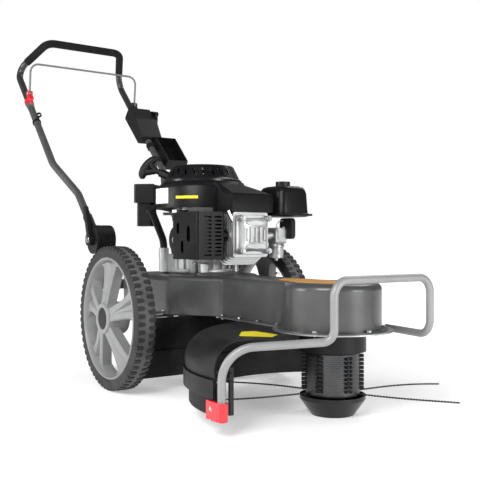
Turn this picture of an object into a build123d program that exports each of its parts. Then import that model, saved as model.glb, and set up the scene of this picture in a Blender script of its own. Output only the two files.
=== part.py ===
"""Wheeled walk-behind string trimmer mower, in millimetres.

Origin: on the ground, under the middle of the wheel axle. +Z is up and the machine faces -Y,
so +X is its left side. Each sub-part is a separate solid or group of solids in its own STEP file.
"""
import os
from math import atan2, cos, degrees, hypot, radians, sin

from build123d import *

os.makedirs("parts", exist_ok=True)

# ---------------------------------------------------------------- driving dimensions
RUN = 0.05  # radial clearance of a running fit
SEAT = 0.1  # radial clearance of a part slid over or into another
GAP = 0.3  # air between parts that move past each other

WHEEL_R = 200
TYRE_W = 50
TYRE_H = 32
RIM_T = 4
HUB_R = 43
HUB_OUT = 16  # hub face beyond the tyre's outer side
TRACK = 516
SPOKES = 5
AXLE_R = 8
BEARING_R = 17.5
BEARING_W = 12

BODY_X = 58  # the deck, engine and head stand left of the wheels' middle plane
DECK_Z = 204
DECK_H = 111
DECK_T = 2.5
DECK_EDGE_R = 16
PLATE_T = 3
NECK_HALF = 70
NOSE_Y = -553
NOSE_R = 117
RIM_FLANGE = 28  # base plate beyond the nose wall
LEDGE = 15  # deck flange beyond the neck wall
REAR_RIGHT = -110
REAR_LEFT = 205
REAR_Y = 290
SHOULDER_Y = -31
NECK_Y = -167
FLANGE_BOLT_R = 3

ENGINE_Y = 55
MOUNT_T = 6
CRANK_R = 12.7
SUMP_R = 88
SUMP_H = 54
LUG_REACH = 100
LUG_H = 24
LUG_R = 13
CASE_TOP = 505
CYL_X = 84
CYL_Z = 432
COVER_Y = -200
COVER_T = 28
SHROUD_R = 150
SHROUD_Z = 496
SHROUD_H = 96
RECOIL_R = 120
RECOIL_TOP_R = 93
RECOIL_H = 50
SKIN = 2.5

SPINDLE_R = 10
BELT_Z = 262
BELT_W = 12
BELT_T = 8
DRIVE_R = 40
DRIVEN_R = 50
ARM_STUD_R = 6
ARM_PIVOT = (-55, 10)
DRUM_R = 65
DRUM_Z = 48
DRUM_TOP = 150
GUARD_R = 80
CUP_R = 79
CUP_H = 47
STUB_R = 8
LINE_R = 2
LINE_REACH = 300
LINE_Z = 52

SHIELD_R = 355
SHIELD_T = 3
SHIELD_BAND_Z = (80, 120)
FLAP_BOTTOM = 40
SHIELD_START = 52
SHIELD_END = 185

BUMPER_R = 9
BUMPER_WALL = 1.5
BUMPER_Z = 330
BUMPER_Y = -727
BUMPER_HALF = 146
LEG_X = -290
LEG_Y = -605
LEG_BOTTOM = 36
SLEEVE_TOP = 76
SLEEVE_R = 13
STRUT_TOP = 148
EAR_T = 3
EAR_W = 22

PIVOT_Y = 345
PIVOT_Z = 419
HANDLE_SLOPE = 44.4
KNUCKLE_R = 46
KNUCKLE_W = 31
LOWER_X = 168
UPPER_X = 218
TUBE_R = 12.5
TUBE_WALL = 1.6
GRIP_HALF = 150
GRIP_Y = 866
GRIP_Z = 1176
FOAM_T = 2.2
BAIL_R = 3.75
BAIL_S = 766  # bail pivot, along the handle from its hinge
BAIL_N = 28.5  # bail pivot, ahead of the handle tube


def save(builder, name):
    """Label a finished sub-part and write it as its own STEP file."""
    builder.part.label = name
    export_step(builder.part, f"parts/{name}.step")


def on_handle(x, s, n=0):
    """Point at distance s along the handle from its hinge and n ahead of it."""
    a = radians(HANDLE_SLOPE)
    return (x, PIVOT_Y + s * cos(a) - n * sin(a), PIVOT_Z + s * sin(a) + n * cos(a))


def handle_plane(x, s=0, n=0):
    """Plane square to X at a handle point: its x runs along the handle, its y ahead of it."""
    a = radians(HANDLE_SLOPE)
    return Plane(origin=on_handle(x, s, n), x_dir=(0, cos(a), sin(a)), z_dir=(1, 0, 0))


def tube_plane(x, s, n=0):
    """Plane square to the handle tubes at distance s from the hinge: its y points ahead."""
    a = radians(HANDLE_SLOPE)
    return Plane(origin=on_handle(x, s, n), x_dir=(-1, 0, 0), z_dir=(0, cos(a), sin(a)))


def side_plane(x, y=0.0, z=0.0):
    """Plane square to X whose local axes are world Y and Z."""
    return Plane(origin=(x, y, z), x_dir=(0, 1, 0), z_dir=(1, 0, 0))


def wheel_section(x):
    """Plane through a wheel's axis: local x is along the axle, local y is the radius."""
    return Plane(origin=(x, 0, WHEEL_R), x_dir=(1, 0, 0), z_dir=(0, -1, 0))


def nose_polar(angle, radius):
    """Point on a circle about the head's axis."""
    return (BODY_X + radius * cos(radians(angle)), NOSE_Y + radius * sin(radians(angle)))


DECK_TOP = DECK_Z + DECK_H
ENGINE_Z = DECK_TOP + MOUNT_T
HEAD = (BODY_X, NOSE_Y)
CRANK = (BODY_X, ENGINE_Y)
WHEEL_X = TRACK / 2
HUB_FACE = WHEEL_X + TYRE_W / 2 + HUB_OUT
HUB_IN = WHEEL_X - TYRE_W / 2
NECK_BOLT_Y = [NECK_Y - 15 - i * (NECK_Y - NOSE_Y - NOSE_R - 17) / 3 for i in range(4)]
FLANGE_BOLTS = [
    (BODY_X - NECK_HALF - LEDGE / 2, y) for y in NECK_BOLT_Y
] + [
    (BODY_X + NECK_HALF + LEDGE / 2, y) for y in NECK_BOLT_Y
] + [nose_polar(a, NOSE_R + LEDGE / 2) for a in (-150, -90, -30, 15)]


EAR = nose_polar(-4, NOSE_R + LEDGE + 8)
ENGINE_BOLTS = [
    (BODY_X + LUG_REACH * cos(radians(a)), ENGINE_Y + LUG_REACH * sin(radians(a))) for a in (45, 135, 225, 315)
]
COVER_BOLTS = [(CYL_X + i * 45, CYL_Z + k * 46) for i in (-1, 1) for k in (-1, 1)]
HOUSING_BOLTS = [nose_polar(a, 55) for a in (45, 135, 225, 315)]


def deck_outline(grow=0.0):
    """Plan of the deck wall, grown outwards: wide rear, shoulders, neck and round nose."""
    right = BODY_X - NECK_HALF
    left = BODY_X + NECK_HALF
    with BuildSketch() as plan:
        with BuildLine():
            Polyline(
                (REAR_RIGHT, REAR_Y), (REAR_RIGHT, SHOULDER_Y), (right, NECK_Y), (right, NOSE_Y),
                (left, NOSE_Y), (left, NECK_Y), (REAR_LEFT, SHOULDER_Y), (REAR_LEFT, REAR_Y), close=True,
            )
        make_face()
        fillet([v for v in plan.vertices() if v.Y > NOSE_Y + 1], radius=30)
        with Locations(HEAD):
            Circle(NOSE_R)
        fillet([v for v in plan.vertices() if NOSE_Y + 20 < v.Y < NOSE_Y + NOSE_R], radius=45)
        if grow:
            offset(amount=grow)
    return plan.sketch


def lower_outline(grow, grow_nose=0.0):
    """Plan of the neck and nose alone, for what lies flat under them."""
    with BuildSketch() as plan:
        add(deck_outline(grow))
        with Locations((BODY_X, NECK_Y + REAR_Y)):
            Rectangle(2 * (REAR_LEFT - REAR_RIGHT), 2 * REAR_Y, mode=Mode.SUBTRACT)
        if grow_nose:
            with Locations(HEAD):
                Circle(NOSE_R + grow_nose)
    return plan.sketch


# ---------------------------------------------------------------- wheels
def spoke_outline():
    """One spoke's face, along local x: narrow at the hub and wide at the rim."""
    bead = WHEEL_R - TYRE_H
    with BuildSketch() as spoke:
        with BuildLine():
            Polyline((HUB_R - 6, -17), (bead - 14, -28), (bead - 14, 28), (HUB_R - 6, 17), close=True)
        make_face()
    return spoke.sketch


def wheel(side, name):
    """Rim with spokes, tyre, and the hub's bearings and cap; side is -1 right, +1 left."""
    x = side * WHEEL_X
    bead = WHEEL_R - TYRE_H
    with BuildPart() as rim:
        with BuildSketch(wheel_section(x)):
            with BuildLine():
                Polyline(
                    (-TYRE_W / 2, bead - 10), (-TYRE_W / 2, bead), (TYRE_W / 2, bead),
                    (TYRE_W / 2, bead - 10), (TYRE_W / 2 - RIM_T, bead - 10),
                    (8, bead - 16), (-8, bead - 16), (-TYRE_W / 2 + RIM_T, bead - 10), close=True,
                )
            make_face()
        revolve(axis=Axis((x, 0, WHEEL_R), (1, 0, 0)))
        hub_length = HUB_FACE - HUB_IN
        with BuildSketch(side_plane(side * (HUB_IN + hub_length / 2), 0, WHEEL_R)):
            Circle(HUB_R)
        extrude(amount=hub_length / 2, both=True)
        with BuildSketch(side_plane(x, 0, WHEEL_R)):
            with PolarLocations(0, SPOKES, start_angle=90):
                add(spoke_outline())
        extrude(amount=10, both=True)
        with BuildSketch(side_plane(x, 0, WHEEL_R)):
            Circle(AXLE_R + 4)
        extrude(amount=HUB_FACE, both=True, mode=Mode.SUBTRACT)
        for face_x, into in ((HUB_FACE, -1), (HUB_IN, 1)):
            with BuildSketch(side_plane(side * face_x, 0, WHEEL_R)):
                Circle(BEARING_R + SEAT)
            depth = BEARING_W if into > 0 else BEARING_W + 8
            extrude(amount=side * into * depth, mode=Mode.SUBTRACT)
    save(rim, f"{name}_rim")

    with BuildPart() as tyre:
        with BuildSketch(wheel_section(x)):
            with Locations((0, bead + TYRE_H / 2)):
                RectangleRounded(TYRE_W, TYRE_H, 8)
            with Locations((0, bead + 4)):
                Rectangle(TYRE_W, 8 - 2 * SEAT)
        revolve(axis=Axis((x, 0, WHEEL_R), (1, 0, 0)))
    save(tyre, f"{name}_tyre")

    with BuildPart() as bearings:
        for start, into in ((HUB_FACE - 8, -1), (HUB_IN, 1)):
            with BuildSketch(side_plane(side * start, 0, WHEEL_R)):
                Circle(BEARING_R)
                Circle(AXLE_R + RUN, mode=Mode.SUBTRACT)
            extrude(amount=side * into * BEARING_W)
        with BuildSketch(side_plane(side * (HUB_FACE - 2), 0, WHEEL_R)):
            Circle(BEARING_R - SEAT)
        extrude(amount=side * 4)
    save(bearings, f"{name}_hub_fittings")


wheel(-1, "right")
wheel(1, "left")

BRACKET_T = 5
SPACER_T = 3
BRACKET_RIGHT = REAR_RIGHT + DECK_EDGE_R + 2
BRACKET_LEFT = REAR_LEFT - DECK_EDGE_R - 2 - BRACKET_T
with BuildPart() as axle:
    with BuildSketch(side_plane(0, 0, WHEEL_R)):
        Circle(AXLE_R)
    extrude(amount=HUB_FACE - 4, both=True)
    for start, end in ((-HUB_IN + GAP, BRACKET_RIGHT - SEAT), (BRACKET_LEFT + BRACKET_T + SEAT, HUB_IN - GAP)):
        with BuildSketch(side_plane(start, 0, WHEEL_R)):
            Circle(AXLE_R + SPACER_T)
        extrude(amount=end - start)
save(axle, "axle")

with BuildPart() as axle_brackets:
    for start in (BRACKET_RIGHT, BRACKET_LEFT):
        with BuildSketch(side_plane(start, 0, WHEEL_R)):
            with BuildLine():
                Polyline(
                    (-24, -18), (24, -18), (45, DECK_TOP - DECK_T - WHEEL_R),
                    (-22, DECK_TOP - DECK_T - WHEEL_R), close=True,
                )
            make_face()
            Circle(AXLE_R + SEAT, mode=Mode.SUBTRACT)
        extrude(amount=BRACKET_T)
save(axle_brackets, "axle_brackets")

# ---------------------------------------------------------------- deck
CROSS_Y = REAR_Y + 15
CROSS_HALF = LOWER_X - KNUCKLE_W / 2 - 1
CROSS_W = 30
with BuildPart() as deck_hollow:
    with BuildSketch(Plane.XY.offset(DECK_Z)):
        add(deck_outline(-DECK_T))
    extrude(amount=DECK_H - DECK_T)
    fillet(deck_hollow.faces().sort_by(Axis.Z)[-1].edges(), radius=DECK_EDGE_R - DECK_T)

with BuildPart() as deck:
    with BuildSketch(Plane.XY.offset(DECK_Z)):
        add(deck_outline())
    extrude(amount=DECK_H)
    fillet(deck.faces().sort_by(Axis.Z)[-1].edges(), radius=DECK_EDGE_R)
    add(deck_hollow.part, mode=Mode.SUBTRACT)
    with BuildSketch(Plane.XY.offset(DECK_Z)):
        add(lower_outline(LEDGE))
        add(deck_outline(-DECK_T), mode=Mode.SUBTRACT)
    extrude(amount=DECK_T)
    with Locations(*[(x, y, DECK_Z) for x, y in FLANGE_BOLTS]):
        Cylinder(FLANGE_BOLT_R + SEAT, 20, mode=Mode.SUBTRACT)
    with BuildSketch(Plane.XY.offset(DECK_TOP)):
        with Locations(CRANK):
            RectangleRounded(2 * LUG_REACH, 2 * LUG_REACH, 30)
    extrude(amount=MOUNT_T)
    with Locations((*CRANK, DECK_TOP)):
        Cylinder(34, 30, mode=Mode.SUBTRACT)
    with Locations(*[(x, y, DECK_TOP) for x, y in ENGINE_BOLTS]):
        Cylinder(FLANGE_BOLT_R + SEAT, 30, mode=Mode.SUBTRACT)
    with BuildSketch(side_plane(REAR_RIGHT - 10, 0, WHEEL_R)):
        Circle(AXLE_R + SPACER_T + 2)
    extrude(amount=REAR_LEFT - REAR_RIGHT + 20, mode=Mode.SUBTRACT)
save(deck, "deck")

with BuildPart() as base_plate:
    with BuildSketch(Plane.XY.offset(DECK_Z - PLATE_T)):
        add(lower_outline(LEDGE, RIM_FLANGE))
        with Locations(HEAD):
            Circle(30 + SEAT, mode=Mode.SUBTRACT)
    extrude(amount=PLATE_T)
    with Locations(*[(x, y, DECK_Z) for x, y in FLANGE_BOLTS + HOUSING_BOLTS + [EAR]]):
        Cylinder(FLANGE_BOLT_R + SEAT, 20, mode=Mode.SUBTRACT)
save(base_plate, "base_plate")


with BuildPart() as chassis_bolts:
    rows = [(p, DECK_Z + DECK_T, DECK_T + PLATE_T + 3) for p in FLANGE_BOLTS]
    rows += [(EAR, DECK_Z, PLATE_T + EAR_T + 3)]
    rows += [(p, DECK_Z, PLATE_T + 7) for p in HOUSING_BOLTS]
    rows += [(p, ENGINE_Z + LUG_H, LUG_H + MOUNT_T + DECK_T + 4) for p in ENGINE_BOLTS]
    for spot, seat, length in rows:
        with BuildSketch(Plane.XY.offset(seat)):
            with Locations(spot):
                RegularPolygon(5.5, 6)
        extrude(amount=4)
        with BuildSketch(Plane.XY.offset(seat)):
            with Locations(spot):
                Circle(FLANGE_BOLT_R)
        extrude(amount=-length)
    with BuildSketch(Plane(origin=(0, COVER_Y, 0), x_dir=(1, 0, 0), z_dir=(0, -1, 0))):
        with Locations(*COVER_BOLTS):
            RegularPolygon(6, 6)
    extrude(amount=4)
    with BuildSketch(Plane(origin=(0, COVER_Y, 0), x_dir=(1, 0, 0), z_dir=(0, -1, 0))):
        with Locations(*COVER_BOLTS):
            Circle(FLANGE_BOLT_R)
    extrude(amount=-COVER_T)
    with BuildSketch(Plane.XY.offset(DECK_TOP - DECK_T)):
        with Locations(ARM_PIVOT):
            Circle(ARM_STUD_R)
    extrude(amount=BELT_Z + BELT_W / 2 - DECK_TOP + DECK_T)
save(chassis_bolts, "chassis_bolts")

BEAM_Z = DECK_TOP - 40
with BuildPart() as cross_beam:
    with BuildSketch(side_plane(-CROSS_HALF, REAR_Y + CROSS_W / 2, BEAM_Z)):
        RectangleRounded(CROSS_W, CROSS_W, 4)
        RectangleRounded(CROSS_W - 4, CROSS_W - 4, 2, mode=Mode.SUBTRACT)
    extrude(amount=2 * CROSS_HALF)
save(cross_beam, "cross_beam")

# ---------------------------------------------------------------- debris shield
SHIELD_TOP_R = 300
SHIELD_TOP_Z = DECK_Z - PLATE_T
BAND_T = 3
FLAP_T = 4
FLAP_R = SHIELD_R - 2 * SHIELD_T - 4 - SEAT


def shield_sector(inner, outer, start=SHIELD_START, end=SHIELD_END):
    """Flat ring sector about the head's axis, between two angles."""
    with BuildSketch() as sector:
        with Locations(HEAD):
            Circle(outer)
            if inner:
                Circle(inner, mode=Mode.SUBTRACT)
        with BuildLine():
            far = 2 * outer
            Polyline(
                HEAD, nose_polar(end, far), nose_polar(end + 60, far), nose_polar(300, far),
                nose_polar(start - 20, far), nose_polar(start, far), close=True,
            )
        make_face(mode=Mode.SUBTRACT)
    return sector.sketch


BAND_LOW, BAND_HIGH = SHIELD_BAND_Z
with BuildPart() as debris_shield:
    with BuildSketch(Plane(origin=(*HEAD, 0), x_dir=(1, 0, 0), z_dir=(0, -1, 0))):
        with BuildLine():
            top = (NOSE_R + 3, SHIELD_TOP_Z)
            shoulder = (SHIELD_TOP_R, SHIELD_TOP_Z - 2)
            side = (SHIELD_R - SHIELD_T, BAND_HIGH)
            foot = (SHIELD_R - SHIELD_T - 4, BAND_LOW)
            Line(top, shoulder)
            TangentArc(shoulder, side, tangent=(1, -0.12))
            Line(side, foot)
            Line(foot, (foot[0] - SHIELD_T, foot[1]))
            Line((foot[0] - SHIELD_T, foot[1]), (side[0] - SHIELD_T, side[1]))
            TangentArc(
                (shoulder[0] - 1, shoulder[1] - SHIELD_T), (side[0] - SHIELD_T, side[1]), tangent=(1, -0.12)
            )
            Line((shoulder[0] - 1, shoulder[1] - SHIELD_T), (top[0], top[1] - SHIELD_T))
            Line((top[0], top[1] - SHIELD_T), top)
        make_face()
    revolve(axis=Axis((*HEAD, 0), (0, 0, 1)))
    with BuildSketch(Plane.XY):
        add(shield_sector(0, 2 * SHIELD_R))
    extrude(amount=2 * DECK_Z, mode=Mode.INTERSECT)
    with BuildSketch(Plane.XY.offset(BAND_LOW)):
        add(shield_sector(SHIELD_R - SHIELD_T + SEAT, SHIELD_R + BAND_T))
    extrude(amount=BAND_HIGH - BAND_LOW)
    strut = (LEG_X + BUMPER_R + 14, LEG_Y)
    with BuildSketch(Plane.XY.offset(LEG_BOTTOM + 11)):
        with Locations(strut):
            Rectangle(10, 6)
    extrude(amount=STRUT_TOP - LEG_BOTTOM - 11)
    edge = nose_polar(SHIELD_END - 1, SHIELD_R - SHIELD_T - 1.5)
    tie = hypot(edge[0] - strut[0], edge[1] - strut[1])
    for height in (BAND_HIGH - 4, STRUT_TOP - 14):
        with BuildSketch(Plane.XY.offset(height)):
            with Locations(Location((*strut, 0), (0, 0, degrees(atan2(edge[1] - strut[1], edge[0] - strut[0]))))):
                with Locations((tie / 2, 0)):
                    Rectangle(tie + 4, 8)
        extrude(amount=6)
    with Locations(*[(x, y, SHIELD_TOP_Z) for x, y in FLANGE_BOLTS]):
        Cylinder(FLANGE_BOLT_R + SEAT, 20, mode=Mode.SUBTRACT)
save(debris_shield, "debris_shield")

# ---------------------------------------------------------------- rear panel and curtain
PANEL_Y = -92
PANEL_T = 2
PANEL_Z = 88
PANEL_HALF = 226
CURTAIN_T = 4
with BuildPart() as rear_panel:
    with BuildSketch(Plane.XY.offset(PANEL_Z)):
        with Locations((0, PANEL_Y + PANEL_T / 2)):
            Rectangle(2 * PANEL_HALF, PANEL_T)
    extrude(amount=DECK_Z - PANEL_Z - 1)
    with BuildSketch(Plane.XY.offset(DECK_Z - 1 - PANEL_T)):
        with Locations((BODY_X - 10, PANEL_Y + 14)):
            Rectangle(REAR_LEFT - REAR_RIGHT - 30, 28)
    extrude(amount=PANEL_T)
save(rear_panel, "rear_panel")

with BuildPart() as rubber_flaps:
    with BuildSketch(Plane.XY.offset(FLAP_BOTTOM)):
        with Locations((0, PANEL_Y - CURTAIN_T / 2)):
            Rectangle(2 * PANEL_HALF, CURTAIN_T)
    extrude(amount=PANEL_Z + 24 - FLAP_BOTTOM)
    with BuildSketch(Plane.XY.offset(FLAP_BOTTOM)):
        add(shield_sector(FLAP_R - FLAP_T, FLAP_R))
    extrude(amount=BAND_HIGH - 8 - FLAP_BOTTOM)
save(rubber_flaps, "rubber_flaps")

# ---------------------------------------------------------------- bumper
BAR_Z = 196
LOOP_LEFT = (BODY_X + BUMPER_HALF, BUMPER_Y)
LOOP_RIGHT = (BODY_X - BUMPER_HALF, BUMPER_Y)
BUMPER_PATH = [
    (LEG_X, LEG_Y, LEG_BOTTOM + 4), (LEG_X, LEG_Y, BAR_Z - 8), (*LOOP_RIGHT, BAR_Z + 6),
    (*LOOP_RIGHT, BUMPER_Z), (*LOOP_LEFT, BUMPER_Z), (*LOOP_LEFT, BAR_Z), (EAR[0] + 30, EAR[1], BAR_Z),
]
with BuildPart() as bumper:
    with BuildLine() as path:
        FilletPolyline(*BUMPER_PATH, radius=(72, 26, 36, 36, 36))
    with BuildSketch(Plane(origin=BUMPER_PATH[0], z_dir=(0, 0, 1))):
        Circle(BUMPER_R)
        Circle(BUMPER_R - BUMPER_WALL, mode=Mode.SUBTRACT)
    sweep(path=path.line)
    with BuildSketch(Plane.XY.offset(DECK_Z - PLATE_T - EAR_T)):
        with Locations((EAR[0] + 15, EAR[1])):
            SlotOverall(30 + EAR_W, EAR_W)
        with Locations(EAR):
            Circle(FLANGE_BOLT_R + SEAT, mode=Mode.SUBTRACT)
    extrude(amount=EAR_T)
save(bumper, "bumper")

with BuildPart() as bumper_sleeve:
    with BuildSketch(Plane.XY.offset(LEG_BOTTOM)):
        with Locations((LEG_X, LEG_Y)):
            Circle(SLEEVE_R)
        with Locations((LEG_X - SLEEVE_R + 6, LEG_Y + 24)):
            Rectangle(12, 44)
    extrude(amount=SLEEVE_TOP - LEG_BOTTOM)
    with BuildSketch(Plane.XY.offset(LEG_BOTTOM + 4)):
        with Locations((LEG_X, LEG_Y)):
            Circle(BUMPER_R + SEAT)
    extrude(amount=SLEEVE_TOP, mode=Mode.SUBTRACT)
save(bumper_sleeve, "bumper_sleeve")

# ---------------------------------------------------------------- handle pivots
PIVOT_R = 6
SOCKET_S = 110
LEVER_ANGLE = 72


SOCKET_OUT = LOWER_X + KNUCKLE_W / 2
BRACKET_OUT = SOCKET_OUT - KNUCKLE_W - GAP
LEVER_W = 16
with BuildPart() as handle_brackets:
    for side in (-1, 1):
        with BuildSketch(side_plane(side * BRACKET_OUT, PIVOT_Y, PIVOT_Z)):
            Circle(KNUCKLE_R)
            with BuildLine():
                Polyline(
                    (-KNUCKLE_R + 3, 0), (KNUCKLE_R - 3, 0), (REAR_Y + CROSS_W - PIVOT_Y + 14, BEAM_Z - PIVOT_Z - 18),
                    (REAR_Y - PIVOT_Y + 2, BEAM_Z - PIVOT_Z - 18), close=True,
                )
            make_face()
            with Locations((REAR_Y + CROSS_W / 2 - PIVOT_Y, BEAM_Z - PIVOT_Z)):
                RectangleRounded(CROSS_W + 2 * SEAT, CROSS_W + 2 * SEAT, 4, mode=Mode.SUBTRACT)
            Circle(PIVOT_R + RUN, mode=Mode.SUBTRACT)
        extrude(amount=-side * KNUCKLE_W)
save(handle_brackets, "handle_brackets")

with BuildPart() as pivot_sockets:
    for side in (-1, 1):
        with BuildSketch(side_plane(side * SOCKET_OUT, PIVOT_Y, PIVOT_Z)):
            Circle(KNUCKLE_R)
        extrude(amount=-side * KNUCKLE_W)
        with BuildSketch(tube_plane(side * LOWER_X, 0)):
            Circle(KNUCKLE_W / 2)
        extrude(amount=SOCKET_S)
        with BuildSketch(tube_plane(side * LOWER_X, KNUCKLE_R + 2)):
            Circle(TUBE_R + SEAT)
        extrude(amount=SOCKET_S, mode=Mode.SUBTRACT)
        with BuildSketch(side_plane(side * (SOCKET_OUT + 1), PIVOT_Y, PIVOT_Z)):
            Circle(PIVOT_R + RUN)
        extrude(amount=-side * (KNUCKLE_W + 2), mode=Mode.SUBTRACT)
save(pivot_sockets, "pivot_sockets")

with BuildPart() as pivot_bolts:
    for side in (-1, 1):
        with BuildSketch(side_plane(side * (BRACKET_OUT - KNUCKLE_W), PIVOT_Y, PIVOT_Z)):
            Circle(PIVOT_R)
        extrude(amount=side * (KNUCKLE_W + GAP + KNUCKLE_W + GAP + LEVER_W + GAP))
        with BuildSketch(side_plane(side * (BRACKET_OUT - KNUCKLE_W), PIVOT_Y, PIVOT_Z)):
            RegularPolygon(11, 6)
        extrude(amount=-side * 8)
        with BuildSketch(side_plane(side * (SOCKET_OUT + 2 * GAP + LEVER_W), PIVOT_Y, PIVOT_Z)):
            Circle(9)
        extrude(amount=side * 4)
save(pivot_bolts, "pivot_bolts")

for side, name in ((-1, "right"), (1, "left")):
    with BuildPart() as lever:
        with BuildSketch(side_plane(side * (SOCKET_OUT + GAP), PIVOT_Y, PIVOT_Z)):
            Circle(20)
        extrude(amount=side * LEVER_W)
        with BuildSketch(side_plane(side * (SOCKET_OUT + GAP + 3), PIVOT_Y, PIVOT_Z)):
            with Locations(Location((0, 0, 0), (0, 0, LEVER_ANGLE))):
                with Locations((52, 0)):
                    SlotOverall(124, 20)
        extrude(amount=side * 11)
        with BuildSketch(side_plane(side * (SOCKET_OUT + GAP), PIVOT_Y, PIVOT_Z)):
            Circle(PIVOT_R + RUN)
        extrude(amount=side * LEVER_W, mode=Mode.SUBTRACT)
    save(lever, f"{name}_clamp_lever")

# ---------------------------------------------------------------- handlebar
BEND_LOW_S = 223
BEND_HIGH_S = 380
FERRULE_S = 722
LOOP_TOP_S = 955


def ring(radius):
    """Wall of a handle tube of this outer radius."""
    Circle(radius)
    Circle(radius - TUBE_WALL, mode=Mode.SUBTRACT)


with BuildPart() as lower_tubes:
    for side in (-1, 1):
        with BuildLine() as path:
            FilletPolyline(
                on_handle(side * LOWER_X, KNUCKLE_R + 3), on_handle(side * LOWER_X, BEND_LOW_S),
                on_handle(side * UPPER_X, BEND_HIGH_S), on_handle(side * UPPER_X, FERRULE_S), radius=90,
            )
        with BuildSketch(tube_plane(side * LOWER_X, KNUCKLE_R + 3)):
            ring(TUBE_R)
        sweep(path=path.line)
save(lower_tubes, "lower_tubes")

LOOP = [
    on_handle(-UPPER_X, FERRULE_S), on_handle(-UPPER_X, LOOP_TOP_S), (-GRIP_HALF, GRIP_Y, GRIP_Z),
    (GRIP_HALF, GRIP_Y, GRIP_Z), on_handle(UPPER_X, LOOP_TOP_S), on_handle(UPPER_X, FERRULE_S),
]
LOOP_BEND = 42
with BuildPart() as upper_loop:
    with BuildLine() as path:
        FilletPolyline(*LOOP, radius=LOOP_BEND)
    with BuildSketch(tube_plane(-UPPER_X, FERRULE_S)):
        ring(TUBE_R)
    sweep(path=path.line)
save(upper_loop, "upper_loop")

with BuildPart() as foam_grip:
    corner, grip_end = Vector(*LOOP[1]), Vector(*LOOP[2])
    start = corner + (grip_end - corner) * 0.34
    end = Vector(-start.X, start.Y, start.Z)
    with BuildLine() as path:
        FilletPolyline(start, grip_end, Vector(*LOOP[3]), end, radius=LOOP_BEND)
    with BuildSketch(Plane(origin=start, z_dir=(grip_end - corner).normalized())):
        Circle(TUBE_R + FOAM_T)
        Circle(TUBE_R + SEAT, mode=Mode.SUBTRACT)
    sweep(path=path.line)
save(foam_grip, "foam_grip")

with BuildPart() as ferrules:
    for side in (-1, 1):
        with BuildSketch(tube_plane(side * UPPER_X, FERRULE_S - 12)):
            Circle(TUBE_R + 2)
            Circle(TUBE_R + SEAT, mode=Mode.SUBTRACT)
        extrude(amount=24)
save(ferrules, "ferrules")

# ---------------------------------------------------------------- bail
EYE_R = 9
EYE_W = 8
CHEEK_T = 5
BAIL_PIN_R = 3
FORK_S = 30
BAIL_Y = 859
BAIL_Z = 1087
PIVOT_RIGHT = Vector(*on_handle(-UPPER_X, BAIL_S, BAIL_N))
with BuildPart() as bail:
    low = Vector(-UPPER_X, PIVOT_RIGHT.Y, PIVOT_RIGHT.Z)
    high = Vector(-UPPER_X, BAIL_Y, BAIL_Z)
    leg = (high - low).normalized()
    foot = low + leg * (EYE_R - 3)
    with BuildLine() as path:
        FilletPolyline(
            foot, high, Vector(UPPER_X, BAIL_Y, BAIL_Z), Vector(UPPER_X, foot.Y, foot.Z), radius=32
        )
    with BuildSketch(Plane(origin=foot, z_dir=leg)):
        Circle(BAIL_R)
    sweep(path=path.line)
    for side in (-1, 1):
        with BuildSketch(handle_plane(side * UPPER_X - EYE_W / 2, BAIL_S, BAIL_N)):
            Circle(EYE_R)
        extrude(amount=EYE_W)
        with BuildSketch(handle_plane(side * UPPER_X - EYE_W / 2, BAIL_S, BAIL_N)):
            Circle(BAIL_PIN_R + RUN)
        extrude(amount=EYE_W, mode=Mode.SUBTRACT)
save(bail, "bail")

for side, name in ((-1, "right"), (1, "left")):
    with BuildPart() as fork:
        for cheek in (-1, 1):
            start_x = side * UPPER_X + cheek * (EYE_W / 2 + GAP)
            with BuildSketch(handle_plane(start_x, BAIL_S, BAIL_N)):
                Circle(EYE_R + 1)
                with Locations((-FORK_S / 2, -6)):
                    Rectangle(FORK_S, 2 * (EYE_R + 1) - 8)
                Circle(BAIL_PIN_R + SEAT, mode=Mode.SUBTRACT)
            extrude(amount=cheek * CHEEK_T)
        with BuildSketch(tube_plane(side * UPPER_X, BAIL_S - FORK_S)):
            with Locations((0, TUBE_R + 6)):
                Rectangle(2 * (EYE_W / 2 + GAP + CHEEK_T), 22)
            Circle(TUBE_R + 4)
            Circle(TUBE_R + SEAT, mode=Mode.SUBTRACT)
        extrude(amount=FORK_S - EYE_R - 4)
    save(fork, f"{name}_bail_fork")

with BuildPart() as bail_pins:
    for side in (-1, 1):
        reach = EYE_W / 2 + GAP + CHEEK_T
        with BuildSketch(handle_plane(side * UPPER_X - reach, BAIL_S, BAIL_N)):
            Circle(BAIL_PIN_R)
        extrude(amount=2 * reach)
        with BuildSketch(handle_plane(side * (UPPER_X + reach), BAIL_S, BAIL_N)):
            Circle(6)
        extrude(amount=side * 3)
save(bail_pins, "bail_pins")

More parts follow.
